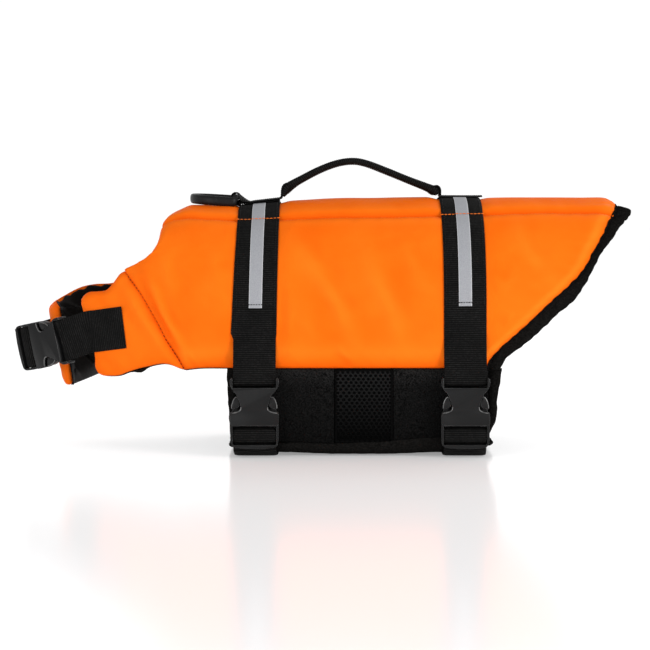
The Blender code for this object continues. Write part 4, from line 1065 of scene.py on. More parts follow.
LEFT_COLLAR_FOLDS = (
    (-170, 84, -217, 156, -1.9, 4.6, 1), (-187, 90, -226, 150, 1, 5.5, 1), (-244, 140, -230, 133, 1, 4.5),
    (-240, 90, -220, 76, 1.2, 4.2), (-205, 80, -208, 92, 0.8, 4),
)
RIGHT_COLLAR_FOLDS = (
    (-223, 150, -213, 125, 1.2, 5.5), (-290, 140, -285, 70, 1.2, 6), (-320, 130, -322, 65, 1, 6),
)


# %% The collar panels
COLLAR_PUCKERS = Edges(0.0008, 0.0009, 0.0009, 0.0008)


def collar_panel(side, top, front, foot, folds, seed):
    """From the collar seam forward to the flap's front edge."""
    name = "collar_" + SIDE_NAMES[side]
    rows = side_rows()
    down = (rows[rows > CORNER - 1e-9] - CORNER) / (1 - CORNER)
    down[0] = 0.0
    seam = edge_points(COLLAR_SEAM, down)
    parts = split([0.0, 1.0], FINE / (run_of(np.array(top))[-1] * MM))
    top, foot, front = edge_points(top, parts), edge_points(foot, parts), edge_points(front, down)
    grid = coons(top, foot, seam, front, parts, down)
    u, z = grid[..., 0], grid[..., 1]
    made = Making(seed, folds, COLLAR_PUCKERS, Edges(1, 1, 0, 1), 0.0, 0.0, 0.0, 0.0, 0.7)
    return padded_panel(name, parts, down, wall(side, u, z), wall_normal(side, u, z), u, z, made)


COLLARS = {
    LEFT: collar_panel(LEFT, LEFT_COLLAR_TOP, LEFT_COLLAR_FRONT, LEFT_COLLAR_FOOT, LEFT_COLLAR_FOLDS, 2.6),
    RIGHT: collar_panel(
        RIGHT, RIGHT_COLLAR_TOP, RIGHT_COLLAR_FRONT, RIGHT_COLLAR_FOOT, RIGHT_COLLAR_FOLDS, 5.1
    ),
}
at = np.linspace(0.0, 1.0, len(COLLARS[LEFT].across))
low_peek = 0.0010 + 0.0038 * np.exp(-(((at - 0.50) / 0.07) ** 2))
lining("lining_collar_left", COLLARS[LEFT], 0.0008, 0.9, Edges(0.0008, low_peek, 0.0, 0.0))
at = np.linspace(0.0, 1.0, len(COLLARS[RIGHT].across))
high_peek = -0.0008 + 0.0016 * wander(at, 0.13, 0.9)
lining("lining_collar_right", COLLARS[RIGHT], 0.0034, 2.2, Edges(high_peek, 0.0010, 0.0, 0.0))
print("collar grids:", [panel.outer.shape[:2] for panel in COLLARS.values()])

# %% [markdown]
# ## Bindings
#
# Tape folded over the edge of the tail opening holds the layers together. It is a long sweep: one
# rounded section carried along the edge, a little thicker and thinner by turns where the cloth
# gathers under it, with a thin lip that laps over the panel. The UV runs round the section and along
# the edge, so the tape's ribs cross it.


# %% A sweep of closed sections
def sweep(name, sections, finish, uvs=None, node=None, body=JACKET, ring=False):
    """A closed piece through sections of equal counts; a ring joins its last section to its first."""
    sections = np.asarray(sections, float)
    count, corners = sections.shape[:2]
    if uvs is None:
        round_it = np.linalg.norm(sections - np.roll(sections, 1, axis=1), axis=-1)
        down = run_of(sections.mean(axis=1))
        uvs = np.stack([np.cumsum(round_it, axis=1), np.repeat(down[:, None], corners, axis=1)], axis=-1)
    index = np.arange(count * corners).reshape(count, corners)
    near, far = (index, np.roll(index, -1, axis=0)) if ring else (index[:-1], index[1:])
    quads = np.stack([near, np.roll(near, -1, axis=1), np.roll(far, -1, axis=1), far], axis=-1)
    faces = quads.reshape(-1, 4).tolist()
    if not ring:
        faces += [index[0][::-1].tolist(), index[-1].tolist()]
    return solid(name, sections.reshape(-1, 3), faces, uvs.reshape(-1, 2), finish, node, body)


# %% The tail bindings
BINDING_STEP = 0.0018
BINDING_POINTS = 15
LIP_THICK = 0.0006
TONGUE_DEEP = 0.0030
TONGUE = 0.0024
EDGE_LIFT = 0.0006


def tape_section(inner, outer, normal, swell, lip):
    """The folded tape's section: a rounded body from the panel out to its rim, and a lip over the panel."""
    drop = normal * BINDING
    middle = (inner + outer) / 2 - drop / 2
    reach = (outer - inner) / 2
    points = []
    for angle in math.radians(-172) + math.radians(344) * np.arange(BINDING_POINTS) / (BINDING_POINTS - 1):
        turned = (math.cos(angle), 0.45), (math.sin(angle), 0.50)
        flat_c, flat_s = (math.copysign(abs(part) ** power, part) for part, power in turned)
        points.append(middle + reach * flat_c + drop / 2 * flat_s * (1 + swell))
    points[-1] = inner + normal * (LIP_THICK - BINDING * 0.06)
    return points[::-1] + [lip, lip + normal * LIP_THICK]


def binding(name, grid, normals, rim, seed, tongue=0.0):
    """The tape along the last column of a panel's grid, out to a rim; a tongue hangs over what lies below."""
    edge = grid[:, -1]
    run = run_of(edge)
    parts = np.linspace(0.0, 1.0, int(run[-1] / BINDING_STEP))
    inwards = along_rows(unit(grid[:, -2] - edge), run, parts)
    normals = unit(along_rows(normals, run, parts))
    edge, rim = along(edge, parts), along_rows(rim, run, parts)
    run = run_of(edge)
    out = rim - edge
    out = unit(out - normals * (out * normals).sum(axis=1, keepdims=True))
    gather = wander(run, 0.0105, seed)
    starts = edge + normals * EDGE_LIFT + out * GAP
    ends = rim - normals * EDGE_LIFT + out * (0.0006 * gather)[:, None]
    lips = edge + normals * GAP + inwards * (0.0012 + 0.0010 * gather)[:, None]
    swells = 0.10 * wander(run, 0.0061, seed + 1)
    sections = [tape_section(*row) for row in zip(starts, ends, normals, swells, lips)]
    if tongue:
        last, normal = np.array(sections[-1]), normals[-1]
        deep = ((edge[-1] - last) * normal).sum(axis=1, keepdims=True)
        thin = last + normal * np.maximum(deep - TONGUE_DEEP, 0.0)
        sections += [thin + [0, 0, -0.0001], thin + [0, 0, -tongue]]
    sweep(name, sections, BINDING_FINISH)


tail_spine = float(station(TAIL_TIP_X).spine)
over = crest(TAIL_TIP_X + TAIL_BOW * (1 - (2 * BACK.down - 1) ** 2), (2 * BACK.down - 1) * tail_spine)
binding("binding_tail_top", BACK.outer, BACK.normals[:, -1], over, 0.3)
for side, panel in SIDES.items():
    rim_line = edge_points(TAIL_RIM, panel.down)
    rim = wall(side, rim_line[:, 0], rim_line[:, 1])
    rim[0] = crest(TAIL_TIP_X, side * tail_spine)
    binding("binding_tail_" + SIDE_NAMES[side], panel.outer, panel.normals[:, -1], rim, 1.7 + side, TONGUE)
print("tail bindings done")

# %% [markdown]
# ## Webbing
#
# Each strap is a thin slab of webbing laid on rows of points that already follow what it lies on.
# The rows are resampled to four for each rib, and a wave lifts every rib, so the ribs are real
# relief and keep their pitch round every bend. The selvedges are a little thinner than the middle.

# %% A strip of webbing over rows of points
RIB_ROWS = 4
RIB_HEIGHT = 0.00013
ACROSS = np.array([-1.0, -0.97, -0.85, -0.5, 0.0, 0.5, 0.85, 0.97, 1.0])


def dense(base, normals, step):
    """Rows of points and directions resampled at even steps along their middle."""
    run = run_of(base.mean(axis=1))
    count = max(int(run[-1] / step), 2)
    where = np.linspace(0.0, run[-1], count + 1)
    shape = (len(where),) + base.shape[1:]
    base, normals = (rows_at(where, run, rows.reshape(len(run), -1)) for rows in (base, normals))
    return base.reshape(shape), unit(normals.reshape(shape)), where


def soften(rows, width, step):
    """Rows smoothed along the strap, ends kept; width is the reach in metres."""
    count = max(int(width / step), 1)
    kernel = np.hanning(2 * count + 3)[1:-1]
    kernel /= kernel.sum()
    before, after = 2 * rows[:1] - rows[count:0:-1], 2 * rows[-1:] - rows[-2 : -count - 2 : -1]
    padded = np.concatenate([before, rows, after])
    flat = padded.reshape(len(padded), -1)
    found = np.stack([np.convolve(column, kernel, mode="valid") for column in flat.T], axis=1)
    return found.reshape(rows.shape)


def webbing(
    name, base, normals, low, thick, finish=WEBBING_FINISH, slot="webbing", rib=RIB_HEIGHT, node=None
):
    """A closed strip lying low above its rows of points, with ribs across it."""
    base, normals, run = dense(base, normals, WEBBING_RIB / RIB_ROWS)
    width = np.linalg.norm(base[:, -1] - base[:, 0], axis=1).mean()
    wave = rib * np.cos(2 * math.pi * run / WEBBING_RIB)[:, None, None]
    edge = (1 - 0.45 * np.abs(ACROSS) ** 12)[None, :, None]
    top = base + normals * (low + thick * edge + wave * edge)
    foot = base + normals * (low + thick * (1 - edge) * 0.6)
    sections = np.concatenate([foot, top[:, ::-1]], axis=1)
    u = ACROSS * width / 2
    uvs = np.stack(np.meshgrid(np.concatenate([u, u[::-1]]), run), axis=-1)
    sweep(name, sections, finish, uvs, node)


# %% The sewn upper part of each girth strap, over the back
ROW_STEP = 0.0016
FRONT_LEAN = -0.0021
UPPER_RUN = 0.085
SIDE_RUN = 0.14
BACK_RUN = 0.12
OVER_SEAM = 0.012
UPPER_ROWS = int(UPPER_RUN / ROW_STEP)


def lean_of(side, end_x):
    """How far a strap has slid forward at a side's foot: only the left front one has."""
    return FRONT_LEAN if side == LEFT and end_x < 0 else 0.0


def rows_on(panel, down, xs, lean=0.0):
    """Rows of a strap's points and outward directions on a panel; it leans by so much from top to foot."""
    down, across = np.meshgrid(down, xs, indexing="ij")
    return [place_on(panel, across + lean * down, down, field) for field in ("outer", "normals")]


def hoop_rows(end_x):
    """Rows of the strap's points over the left side, the back and the right side."""
    xs = end_x + ACROSS * WEBBING_WIDTH / 2
    down = np.linspace(SEWN_END, OVER_SEAM, UPPER_ROWS)
    left, right = (rows_on(SIDES[side], down, xs, lean_of(side, end_x)) for side in (LEFT, RIGHT))
    over = rows_on(BACK, np.linspace(OVER_SEAM, 1 - OVER_SEAM, int(BACK_RUN / ROW_STEP)), xs)
    base, normals = (np.concatenate([left[k], over[k], right[k][::-1]]) for k in (0, 1))
    return soften(base, 0.012, ROW_STEP), unit(normals)


GIRTHS = {"front": -GIRTH_X, "rear": GIRTH_X}
HOOPS = {end: hoop_rows(x) for end, x in GIRTHS.items()}
for end in HOOPS:
    webbing(f"girth_{end}_upper", *HOOPS[end], GAP, DOUBLE_WEBBING)
print("upper girth straps:", [len(rows[0]) for rows in HOOPS.values()], "rows")

# %% [markdown]
# ## Reflective tapes
#
# A narrow grey tape runs down the middle of each girth strap on both sides. It is a thin strip over
# the strap's own rows, so it can't part from it. Its paler borders are in its finish.


# %% Reflective tapes on the girth straps
TAPE_PART = 0.93
TAPE_RIB_HEIGHT = 0.00003


def reflective_tape(end, side):
    """From the strap's sewn end up over the shoulder of the back."""
    base, normals = HOOPS[end]
    count = int(len(base) // 2 * TAPE_PART)
    rows = slice(0, count) if side == LEFT else slice(len(base) - count, len(base))
    across = unit(base[rows, -1] - base[rows, 0])
    tape = base[rows, 4][:, None] + across[:, None] * (ACROSS * TAPE_WIDTH / 2)[None, :, None]
    out = np.repeat(normals[rows, 4][:, None], len(ACROSS), axis=1)
    name, lift = f"reflective_{end}_{SIDE_NAMES[side]}", 2 * GAP + DOUBLE_WEBBING
    webbing(name, tape, out, lift, TAPE, REFLECTIVE, "reflective_tape", TAPE_RIB_HEIGHT)


for end in HOOPS:
    for side in (LEFT, RIGHT):
        reflective_tape(end, side)

# %% [markdown]
# ## Belly flaps
#
# Below the panels two black flaps close round the belly. Their form is a rounded square section
# that stands on the floor. The left flap is brushed loop cloth with a band of mesh between; the
# right one passes inside it and under the belly.

# %% Sizes of the flaps
FLAP_EDGE = 0.0050
REAR_FLARE = 0.0040
MESH_X = (-0.0233, 0.0283)
BELLY_RISE = 0.0017
CORNER_RISE = 0.0058
HEEL_SHIFT = 0.0085
TOE_SHIFT = 0.0028
CORNER_AT = (0.1060, 0.1190)
BELLY_FLAT = 0.020
FLAP_TOP_Z = 0.0780
FLAP_RUN = 0.150
FLAP_SQUARENESS = 12.0
LEFT_FLAP_RUN = (-0.150, -0.0905)
FOOT_BINDING_RUN = (-0.0902, -0.0770)
RIGHT_FLAP_RUN = (-0.130, 0.150)
LAP_RUN = (-0.060, -0.0770)
FLAP_X = (-0.1130, 0.1150)


# %% Points on the belly's form
def belly_column(x):
    """The section's outline at x from the middle of the belly up, and the distance along it."""
    half = float(station(x).half) - FLAP_INSET
    rise = BELLY_RISE * ease(abs(x), BELLY_FLAT, STRAP_EDGES[2])
    floor_z = float(rise + CORNER_RISE * ease(abs(x), *CORNER_AT))
    angles = math.pi / 2 * (1 - np.linspace(0.0, 1.0, 160) ** 2)
    y = half * np.cos(angles) ** (2 / FLAP_SQUARENESS)
    z = WIDEST_Z - (WIDEST_Z - floor_z) * np.sin(angles) ** (2 / FLAP_SQUARENESS)
    kept = int(np.argmax(z > FLAP_TOP_Z))
    part = (FLAP_TOP_Z - z[kept - 1]) / (z[kept] - z[kept - 1])
    curve = np.column_stack([y, z])[: kept + 1]
    curve[-1] = curve[-2] + (curve[-1] - curve[-2]) * part
    run = run_of(curve)
    return curve, run * FLAP_RUN / run[-1], floor_z


def belly(xs, ts):
    """Points and outward directions on the belly's form, a column for each x, a row for each t."""
    xs, ts = np.asarray(xs, float), np.asarray(ts, float)
    points = np.zeros((len(ts), len(xs), 3))
    normals = np.zeros_like(points)
    place = np.abs(ts)
    step = 0.001
    for j, x in enumerate(xs):
        curve, run, floor_z = belly_column(x)
        at = [rows_at(place + d, run, curve) for d in (0.0, step, -step)]
        ahead = np.where((place + step < run[-1])[:, None], at[1], at[0])
        tangent = unit(ahead - at[2])
        flat = place <= BELLY_FLAT
        spot = np.where(flat[:, None], np.column_stack([place, np.full(len(place), floor_z)]), at[0])
        tangent = np.where(flat[:, None], [1.0, 0.0], tangent)
        sign = np.where(ts < 0, -1.0, 1.0)
        points[:, j] = np.column_stack([np.full(len(ts), x), sign * spot[:, 0], spot[:, 1]])
        normals[:, j] = np.column_stack([np.zeros(len(ts)), sign * tangent[:, 1], -tangent[:, 0]])
    gathered = ease(-ts, 0.050, 0.080)[:, None]
    points[..., 0] -= HEEL_SHIFT * gathered * ease(-ts, 0.112, 0.088)[:, None] * ease(xs, 0.080, 0.118)
    points[..., 0] += TOE_SHIFT * gathered * ease(-ts, 0.150, 0.088)[:, None] * ease(-xs, 0.080, 0.118)
    return points, normals


def lap_depth(ts):
    """The right flap passes inside the left one where they lap."""
    return (FLAP + 3 * GAP) * ease(ts, *LAP_RUN)


def flap(name, xs, ts, finish, seed, lap=0):
    """A section of a flap: soft, slightly quilted cloth on the belly's form; lap is 1 for the right flap."""
    points, normals = belly(xs, ts)
    x, t = np.meshgrid(xs, ts)
    above = ease(np.abs(t), 0.075, 0.100)
    wave = wander(x + 0.3 * t, 0.041, seed) + 0.7 * wander(t, 0.023, seed + 1)
    relief = 0.0005 * above * wave - 0.0004 * above
    inside = lap * lap_depth(t)
    outer = points + normals * (relief - inside)[..., None]
    inner = points - normals * (FLAP + inside)[..., None]
    piece = cloth(name, outer, inner, np.stack([x, t], axis=-1), finish, 0.3)


LEFT_TS = split(LEFT_FLAP_RUN, 0.002)
RIGHT_TS = split((RIGHT_FLAP_RUN[0], LAP_RUN[1], LAP_RUN[0], RIGHT_FLAP_RUN[1]), 0.0025)
flap("flap_left_front", split((FLAP_X[0], MESH_X[0] - GAP / 2), 0.002), LEFT_TS, LOOP_CLOTH, 0.5)
flap("flap_left_rear", split((MESH_X[1] + GAP / 2, FLAP_X[1]), 0.002), LEFT_TS, LOOP_CLOTH, 1.9)
flap("flap_right", split(FLAP_X, 0.0025), RIGHT_TS, LOOP_CLOTH, 3.3, 1)


# %% Tapes on the flaps' edges
# The folded tape's section round the cloth's edge: how far out past it and above its face, in millimetres.
EDGE_TAPE = (
    (-2.0, 0.55), (1.2, 0.65), (4.0, 0.35), (5.2, -0.5), (5.4, -1.5), (5.2, -2.4), (4.0, -3.0),
    (1.2, -3.12), (-2.0, -3.1), (-2.0, -3.04), (0.35, -3.04), (0.45, -1.5), (0.35, 0.38), (-2.0, 0.42),
)


def flap_edge(name, x, out, ts, lap, flare=0.0):
    """The tape folded round a flap's front or rear edge; it may flare towards its top."""
    points, normals = (grid[:, 0] for grid in belly([x], ts))
    sections = []
    for point, normal, down, t in zip(points, normals, lap * lap_depth(ts), ts):
        wave = 0.0004 * float(wander(t, 0.011, x * 100)) + flare * float(ease(abs(t), 0.120, FLAP_RUN))
        ring = []
        for reach, lift in EDGE_TAPE:
            shift = np.array([out * (reach * MM + wave * (reach > 1)), 0.0, 0.0])
            ring.append(point + shift + normal * (lift * MM - down))
        sections.append(ring)
    sweep(name, sections, BINDING_FINISH)


for end, x, out, flare in (("front", FLAP_X[0], -1, 0.0), ("rear", FLAP_X[1], 1, REAR_FLARE)):
    flap_edge(f"binding_flap_left_{end}", x, out, LEFT_TS, 0, flare)
    flap_edge(f"binding_flap_right_{end}", x, out, RIGHT_TS, 1)


def foot_binding():
    """The tape along the left flap's foot, a soft roll that laps over the cloth, more so to the rear."""
    start = FOOT_BINDING_RUN[0]
    sections = []
    for x in split((FLAP_X[0] - FLAP_EDGE, FLAP_X[1] + FLAP_EDGE), 0.0018):
        lap = 0.0010 + 0.0052 * float(ease(x, -0.030, 0.100)) + 0.0004 * float(wander(x, 0.050, 2.0))
        over = np.linspace(start - lap, start - 0.0006, 5)
        ts = np.concatenate([over, np.linspace(*FOOT_BINDING_RUN, 10)])
        points, normals = (grid[:, 0] for grid in belly([x], ts))
        puff = 0.0004 * float(wander(x, 0.014, 0.8))
        crown = np.sin(np.linspace(0.25, math.pi - 0.15, len(ts)))[:, None]
        low = np.where(ts < start - 0.0003, 0.0004, -FLAP)[:, None]
        outer = points + normals * (0.0004 + crown * (0.0016 + puff))
        sections.append(np.vstack([outer, (points + normals * low)[::-1]]))
    sweep("binding_flap_foot", sections, BINDING_FINISH)


foot_binding()
print("belly flaps done")

# %% [markdown]
# ## The lower girth straps
#
# On the left a single strap comes out from under the sewn part and turns round the bar of the
# buckle's socket. On the right it runs down the side and under the belly, comes up on the left and
# threads the ladder lock of the prong half. Laid stretches follow the cloth, free ones a drawn path.

# %% The turns through the buckles, in millimetres out (t) and along (l) from the ears
BAR = (-4.5, 2.8)
BAR_RADIUS = 2.4
GIRTH_BUCKLE_Y = -0.1045
GIRTH_BUCKLE_Z = 0.0700
LEFT_STRAP_END = 0.78
RIGHT_STRAP_END = 0.985
IN_SEAM = 2


def bar_turn():
    """The webbing's middle as (t, l) round the socket's bar, from its face to behind it."""
    reach = BAR_RADIUS + (GAP + WEBBING / 2) / MM
    angles = np.radians(np.arange(-15, 181, 15))
    turn = [(BAR[0] - reach * math.cos(a), BAR[1] + reach * math.sin(a)) for a in angles]
    return turn + [(BAR[0] + reach, -1.0), (BAR[0] + reach, -5.0)]


LADDER_TURN = (
    (-1.9, 62.5), (-1.9, 60.2), (-2.6, 58.8), (-4.4, 57.0), (-6.2, 55.9), (-7.3, 55.1), (-8.0, 53.9),
    (-8.4, 52.0), (-8.5, 50.0), (-8.4, 48.0), (-8.0, 46.2), (-7.2, 45.2), (-5.8, 44.6), (-3.6, 43.6),
    (-2.0, 42.4),
)


def free_rows(path, across):
    """Rows of points for a strap whose middle runs along a path, with its outward directions."""
    path, across = np.broadcast_arrays(np.asarray(path, float), np.asarray(across, float))
    tangents = unit(np.gradient(path, axis=0))
    across = unit(across - tangents * (across * tangents).sum(axis=1, keepdims=True))
    normals = np.cross(tangents, across)
    base = path[:, None] + across[:, None] * (ACROSS * WEBBING_WIDTH / 2)[None, :, None]
    return base, np.repeat(normals[:, None], len(ACROSS), axis=1)


# %% The girth straps below their sewn parts
def side_strap_rows(side, end_x, stop):
    """Rows on a side panel from the sewn part's end down, in the order that goes on round the body."""
    xs = end_x - side * ACROSS * WEBBING_WIDTH / 2
    start = SEWN_END + 0.0005
    down = np.linspace(start, stop, int(SIDE_RUN * (stop - start) / ROW_STEP))
    return rows_on(SIDES[side], down, xs, lean_of(side, end_x))


def onto(laid, normals, loose):
    """Laid rows with the loose stretch that follows them, less its first rows, where the two meet."""
    return np.concatenate([laid, loose[0][IN_SEAM:]]), np.concatenate([normals, loose[1][IN_SEAM:]])


def through_buckle(x, turn):
    """A turn's points in the girth buckle at x."""
    return [np.array([x, GIRTH_BUCKLE_Y + t * MM, GIRTH_BUCKLE_Z - l * MM]) for t, l in turn]


def girth_left(end, x):
    """From the upper part's left end down to the buckle, round its bar and up behind it."""
    points, normals = side_strap_rows(LEFT, x, LEFT_STRAP_END)
    laid = points + normals * (GAP + WEBBING / 2)
    x += lean_of(LEFT, x)
    path = [np.array([x, y, z]) for y, z in ((-0.1066, 0.0950), (-0.1086, 0.0850), (-0.1108, 0.0750))]
    path += through_buckle(x, bar_turn())
    loose = free_rows(spline([laid[-1].mean(axis=0), *path], 6), [1.0, 0.0, 0.0])
    webbing(f"girth_{end}_left", *onto(laid[:-1], normals[:-1], loose), -WEBBING / 2, WEBBING)


def girth_right(end, x):
    """From the upper part's right end down, under the belly and into the buckle."""
    points, normals = side_strap_rows(RIGHT, x, RIGHT_STRAP_END)
    under, under_normals = belly(x - ACROSS * WEBBING_WIDTH / 2, np.arange(0.138, -0.046, -0.002))
    points = soften(np.concatenate([points, under]), 0.006, ROW_STEP)
    normals = unit(soften(np.concatenate([normals, under_normals]), 0.006, ROW_STEP))
    laid = points + normals * (GAP + WEBBING / 2)
    floor_path = ((-0.058, 0.0007), (-0.072, 0.0007), (-0.088, 0.0008), (-0.0985, 0.0018), (-0.1042, 0.0046))
    lean = lean_of(LEFT, x)
    path = [np.array([x + lean * k / 5, y, z]) for k, (y, z) in enumerate(floor_path)]
    path += through_buckle(x + lean, LADDER_TURN)
    loose = free_rows(spline([laid[-1].mean(axis=0), *path], 6), [-1.0, 0.0, 0.0])
    laid[..., 2] = np.maximum(laid[..., 2], WEBBING / 2)
    webbing(f"girth_{end}_right", *onto(laid, normals, loose), -WEBBING / 2, WEBBING)


for end, x in GIRTHS.items():
    girth_left(end, x)
    girth_right(end, x)
print("lower girth straps done")

# %% [markdown]
# ## The neck straps
#
# Webbing sewn on each collar panel carries the third buckle across the chest. The strap leaves the
# cloth where the collar ends and turns to meet the buckle.

# %% Where the neck buckle lies
NECK_BUCKLE_AT = Vector((-0.2608, -0.0540, 0.1015))
NECK_BUCKLE_RUN = Vector((-0.762, 0.625, -0.168)).normalized()
NECK_BUCKLE_UP = Vector((-0.200, 0.020, 0.980))
NECK_STRAP_U = -0.2125
NECK_STRAP_Z = 0.1134
NECK_STRAP_SLOPE = 0.14
NECK_STRAP_ENDS = {LEFT: -0.250, RIGHT: -0.281}


def neck_place():
    """The neck buckle's matrix: it lies across the front of the chest."""
    run = NECK_BUCKLE_RUN
    out = run.cross(NECK_BUCKLE_UP).normalized()
    across = run.cross(out).normalized()
    place = Matrix((across, out, -run)).transposed().to_4x4()
    place.translation = NECK_BUCKLE_AT
    return place


def strap_frame(side, u, lift):
    """The middle of the strap on the collar at u, and its upward cross direction there."""
    z = NECK_STRAP_Z + NECK_STRAP_SLOPE * (u - NECK_STRAP_U)
    point, normal = wall(side, u, z), wall_normal(side, u, z)
    ahead = wall(side, u - 0.002, z - 0.002 * NECK_STRAP_SLOPE) - point
    up = unit(np.cross(normal, unit(ahead)))
    return point + normal * lift, up if up[2] > 0 else -up


def neck_strap(side, us, turn):
    """From its sewn end on the collar to the buckle."""
    place = neck_place()
    across = np.array(place.to_3x3() @ Vector((1.0, 0.0, 0.0)))
    across = across if across[2] > 0 else -across
    frames = [strap_frame(side, u, 2 * GAP + 0.0004 + WEBBING / 2) for u in us]
    path = [point for point, up in frames] + [np.array(place @ Vector((0, t * MM, -l * MM))) for t, l in turn]
    ups = [up for point, up in frames] + [across] * len(turn)
    base, normals = free_rows(spline(path, 5), spline(ups, 5))
    if (normals[0, 4] * wall_normal(side, us[0], NECK_STRAP_Z)).sum() < 0:
        base, normals = base[:, ::-1], -normals[:, ::-1]
    webbing("neck_strap_" + SIDE_NAMES[side], base, normals, -WEBBING / 2, WEBBING)


neck_strap(LEFT, np.linspace(NECK_STRAP_U, NECK_STRAP_ENDS[LEFT], 6), bar_turn())
into_ladder = [(4.5, 68.0), (0.2, 65.0), *LADDER_TURN]
neck_strap(RIGHT, np.linspace(NECK_STRAP_U, NECK_STRAP_ENDS[RIGHT], 9), into_ladder)
print("neck straps done")

# %% [markdown]
# ## The leash ring and the spine webbing
#
# A moulded ring for the leash turns in a loop of webbing, sewn over the front girth strap. The ring
# is one section carried round a closed line, because a curve with a bevel would keep one thickness
# all round, and this ring's bow is deeper than its bar. The webbing's line is worked out from the
# straps' own rows, so that it lies on them.

# %% The leash ring
RING_BAR_X = -0.1138
RING_BAR_Z = 0.2298
RING_BAR = 0.0052
RING_LENGTH = 0.0427
RING_HALF = 0.0228
RING_RAIL = (0.0050, 0.0088)
RING_Z = 0.2286
RING_LEAN = 0.0022
RING_ROLL = 0.050
RING_CORNERS = 20


def leash_ring():
    """A moulded D-shaped ring that lies forward on the back, turning on its straight bar."""
    bend_x = RING_BAR_X - RING_LENGTH + RING_HALF + RING_RAIL[0] / 2
    path = [(RING_BAR_X, y) for y in np.linspace(0.0, 0.0192, 5)] + [(RING_BAR_X - 0.0012, 0.0218)]
    path += [(RING_BAR_X - back, RING_HALF) for back in (0.0040, 0.0085, 0.0130, 0.0175)]
    turn = np.radians(range(0, 91, 10))
    path += [(bend_x - RING_HALF * math.sin(a), RING_HALF * math.cos(a)) for a in turn]
    half = spline(path, 3)
    loop = np.vstack([half, half[1:-1][::-1] * [1, -1]])
    tangents = np.roll(loop, -1, axis=0) - np.roll(loop, 1, axis=0)
    ahead = ease(loop[:, 0], RING_BAR_X - 0.0003, RING_BAR_X - 0.0030)
    far = np.maximum(ahead, ease(np.abs(loop[:, 1]), 0.0194, 0.0216))
    wide, tall = (RING_BAR + (size - RING_BAR) * far for size in RING_RAIL)
    lean = RING_LEAN * np.clip((loop[:, 0] - (RING_BAR_X - 0.040)) / 0.036, 0.0, 1.0)
    z = RING_BAR_Z + (RING_Z + RING_ROLL * loop[:, 1] - lean - RING_BAR_Z) * far
    out = unit(np.column_stack([tangents[:, 1], -tangents[:, 0], np.zeros(len(loop))]))
    angles = 2 * math.pi * np.arange(RING_CORNERS) / RING_CORNERS
    c, s = (np.sign(part) * np.abs(part) ** 0.8 for part in (np.cos(angles), np.sin(angles)))
    sections = np.column_stack([loop, z])[:, None] + out[:, None] * (wide[:, None] * c / 2)[..., None]
    sections[..., 2] += tall[:, None] * s / 2
    sweep("ring_moulded", sections, PLASTIC, node="leash_ring", body=RING_BODY, ring=True)


leash_ring()


# %% How the webbing lies over the spine
def strap_top(x):
    """The middle height of webbing that lies on a girth strap, over the spine."""
    base = HOOPS["front" if x < 0 else "rear"][0]
    row = base[len(base) // 2]
    return float(np.interp(x, row[:, 0], row[:, 2])) + 2 * GAP + DOUBLE_WEBBING + WEBBING / 2


def strap_height(x, y):
    """The height of the front strap's own rows under each (x, y), near the spine."""
    base = HOOPS["front"][0]
    base = base[np.abs(base[:, 4, 1]) < 0.045]
    columns = np.stack([np.interp(y, base[:, j, 1], base[:, j, 2]) for j in range(len(ACROSS))])
    place = np.interp(x, base[len(base) // 2, :, 0], np.arange(len(ACROSS)))
    low = np.clip(place.astype(int), 0, len(ACROSS) - 2)
    first, second = (np.take_along_axis(columns, (low + k)[None], axis=0)[0] for k in (0, 1))
    return first + (second - first) * (place - low)


def draped(rows):
    """Rows over the spine, bent down at both edges as the back is, except round the ring's bar."""
    base, normals = rows
    x, y = base[..., 0], base[..., 1]
    bent = np.where(x < -0.05, 1 - ease(x, RING_BAR_X + 0.012, RING_BAR_X + 0.002), 1.0)
    base[..., 2] -= bent * (crest(x, np.zeros_like(y))[..., 2] - crest(x, y)[..., 2])
    under = np.arange(len(x))[:, None] > np.argmin(x[:, 4])
    behind = np.where(under, x - RING_BAR_X + 0.0030, (x - RING_BAR_X - 0.0015) * 0.78)
    loose = (np.abs(y) * 2 / WEBBING_WIDTH) ** 3 * ease(behind, 0.0, 0.0035) * (x < -0.09)
    ahead = crest(x, y)[..., 2] + 2 * GAP - 0.0010
    on_strap = strap_height(x, y) + 2 * GAP + DOUBLE_WEBBING
    on_edge = ease(x, STRAP_EDGES[0] - 0.0010, STRAP_EDGES[0] + 0.0006)
    lying = ahead + (on_strap - ahead) * on_edge + WEBBING / 2
    floor = np.where(under, lying, lying + WEBBING + GAP)
    base[..., 2] -= 0.95 * loose * np.maximum(base[..., 2] - floor, 0.0)
    slope = crest_normal(x, y) - crest_normal(x, np.zeros_like(y))
    return base, unit(normals + np.sign(normals[..., 2:3]) * slope * bent[..., None])


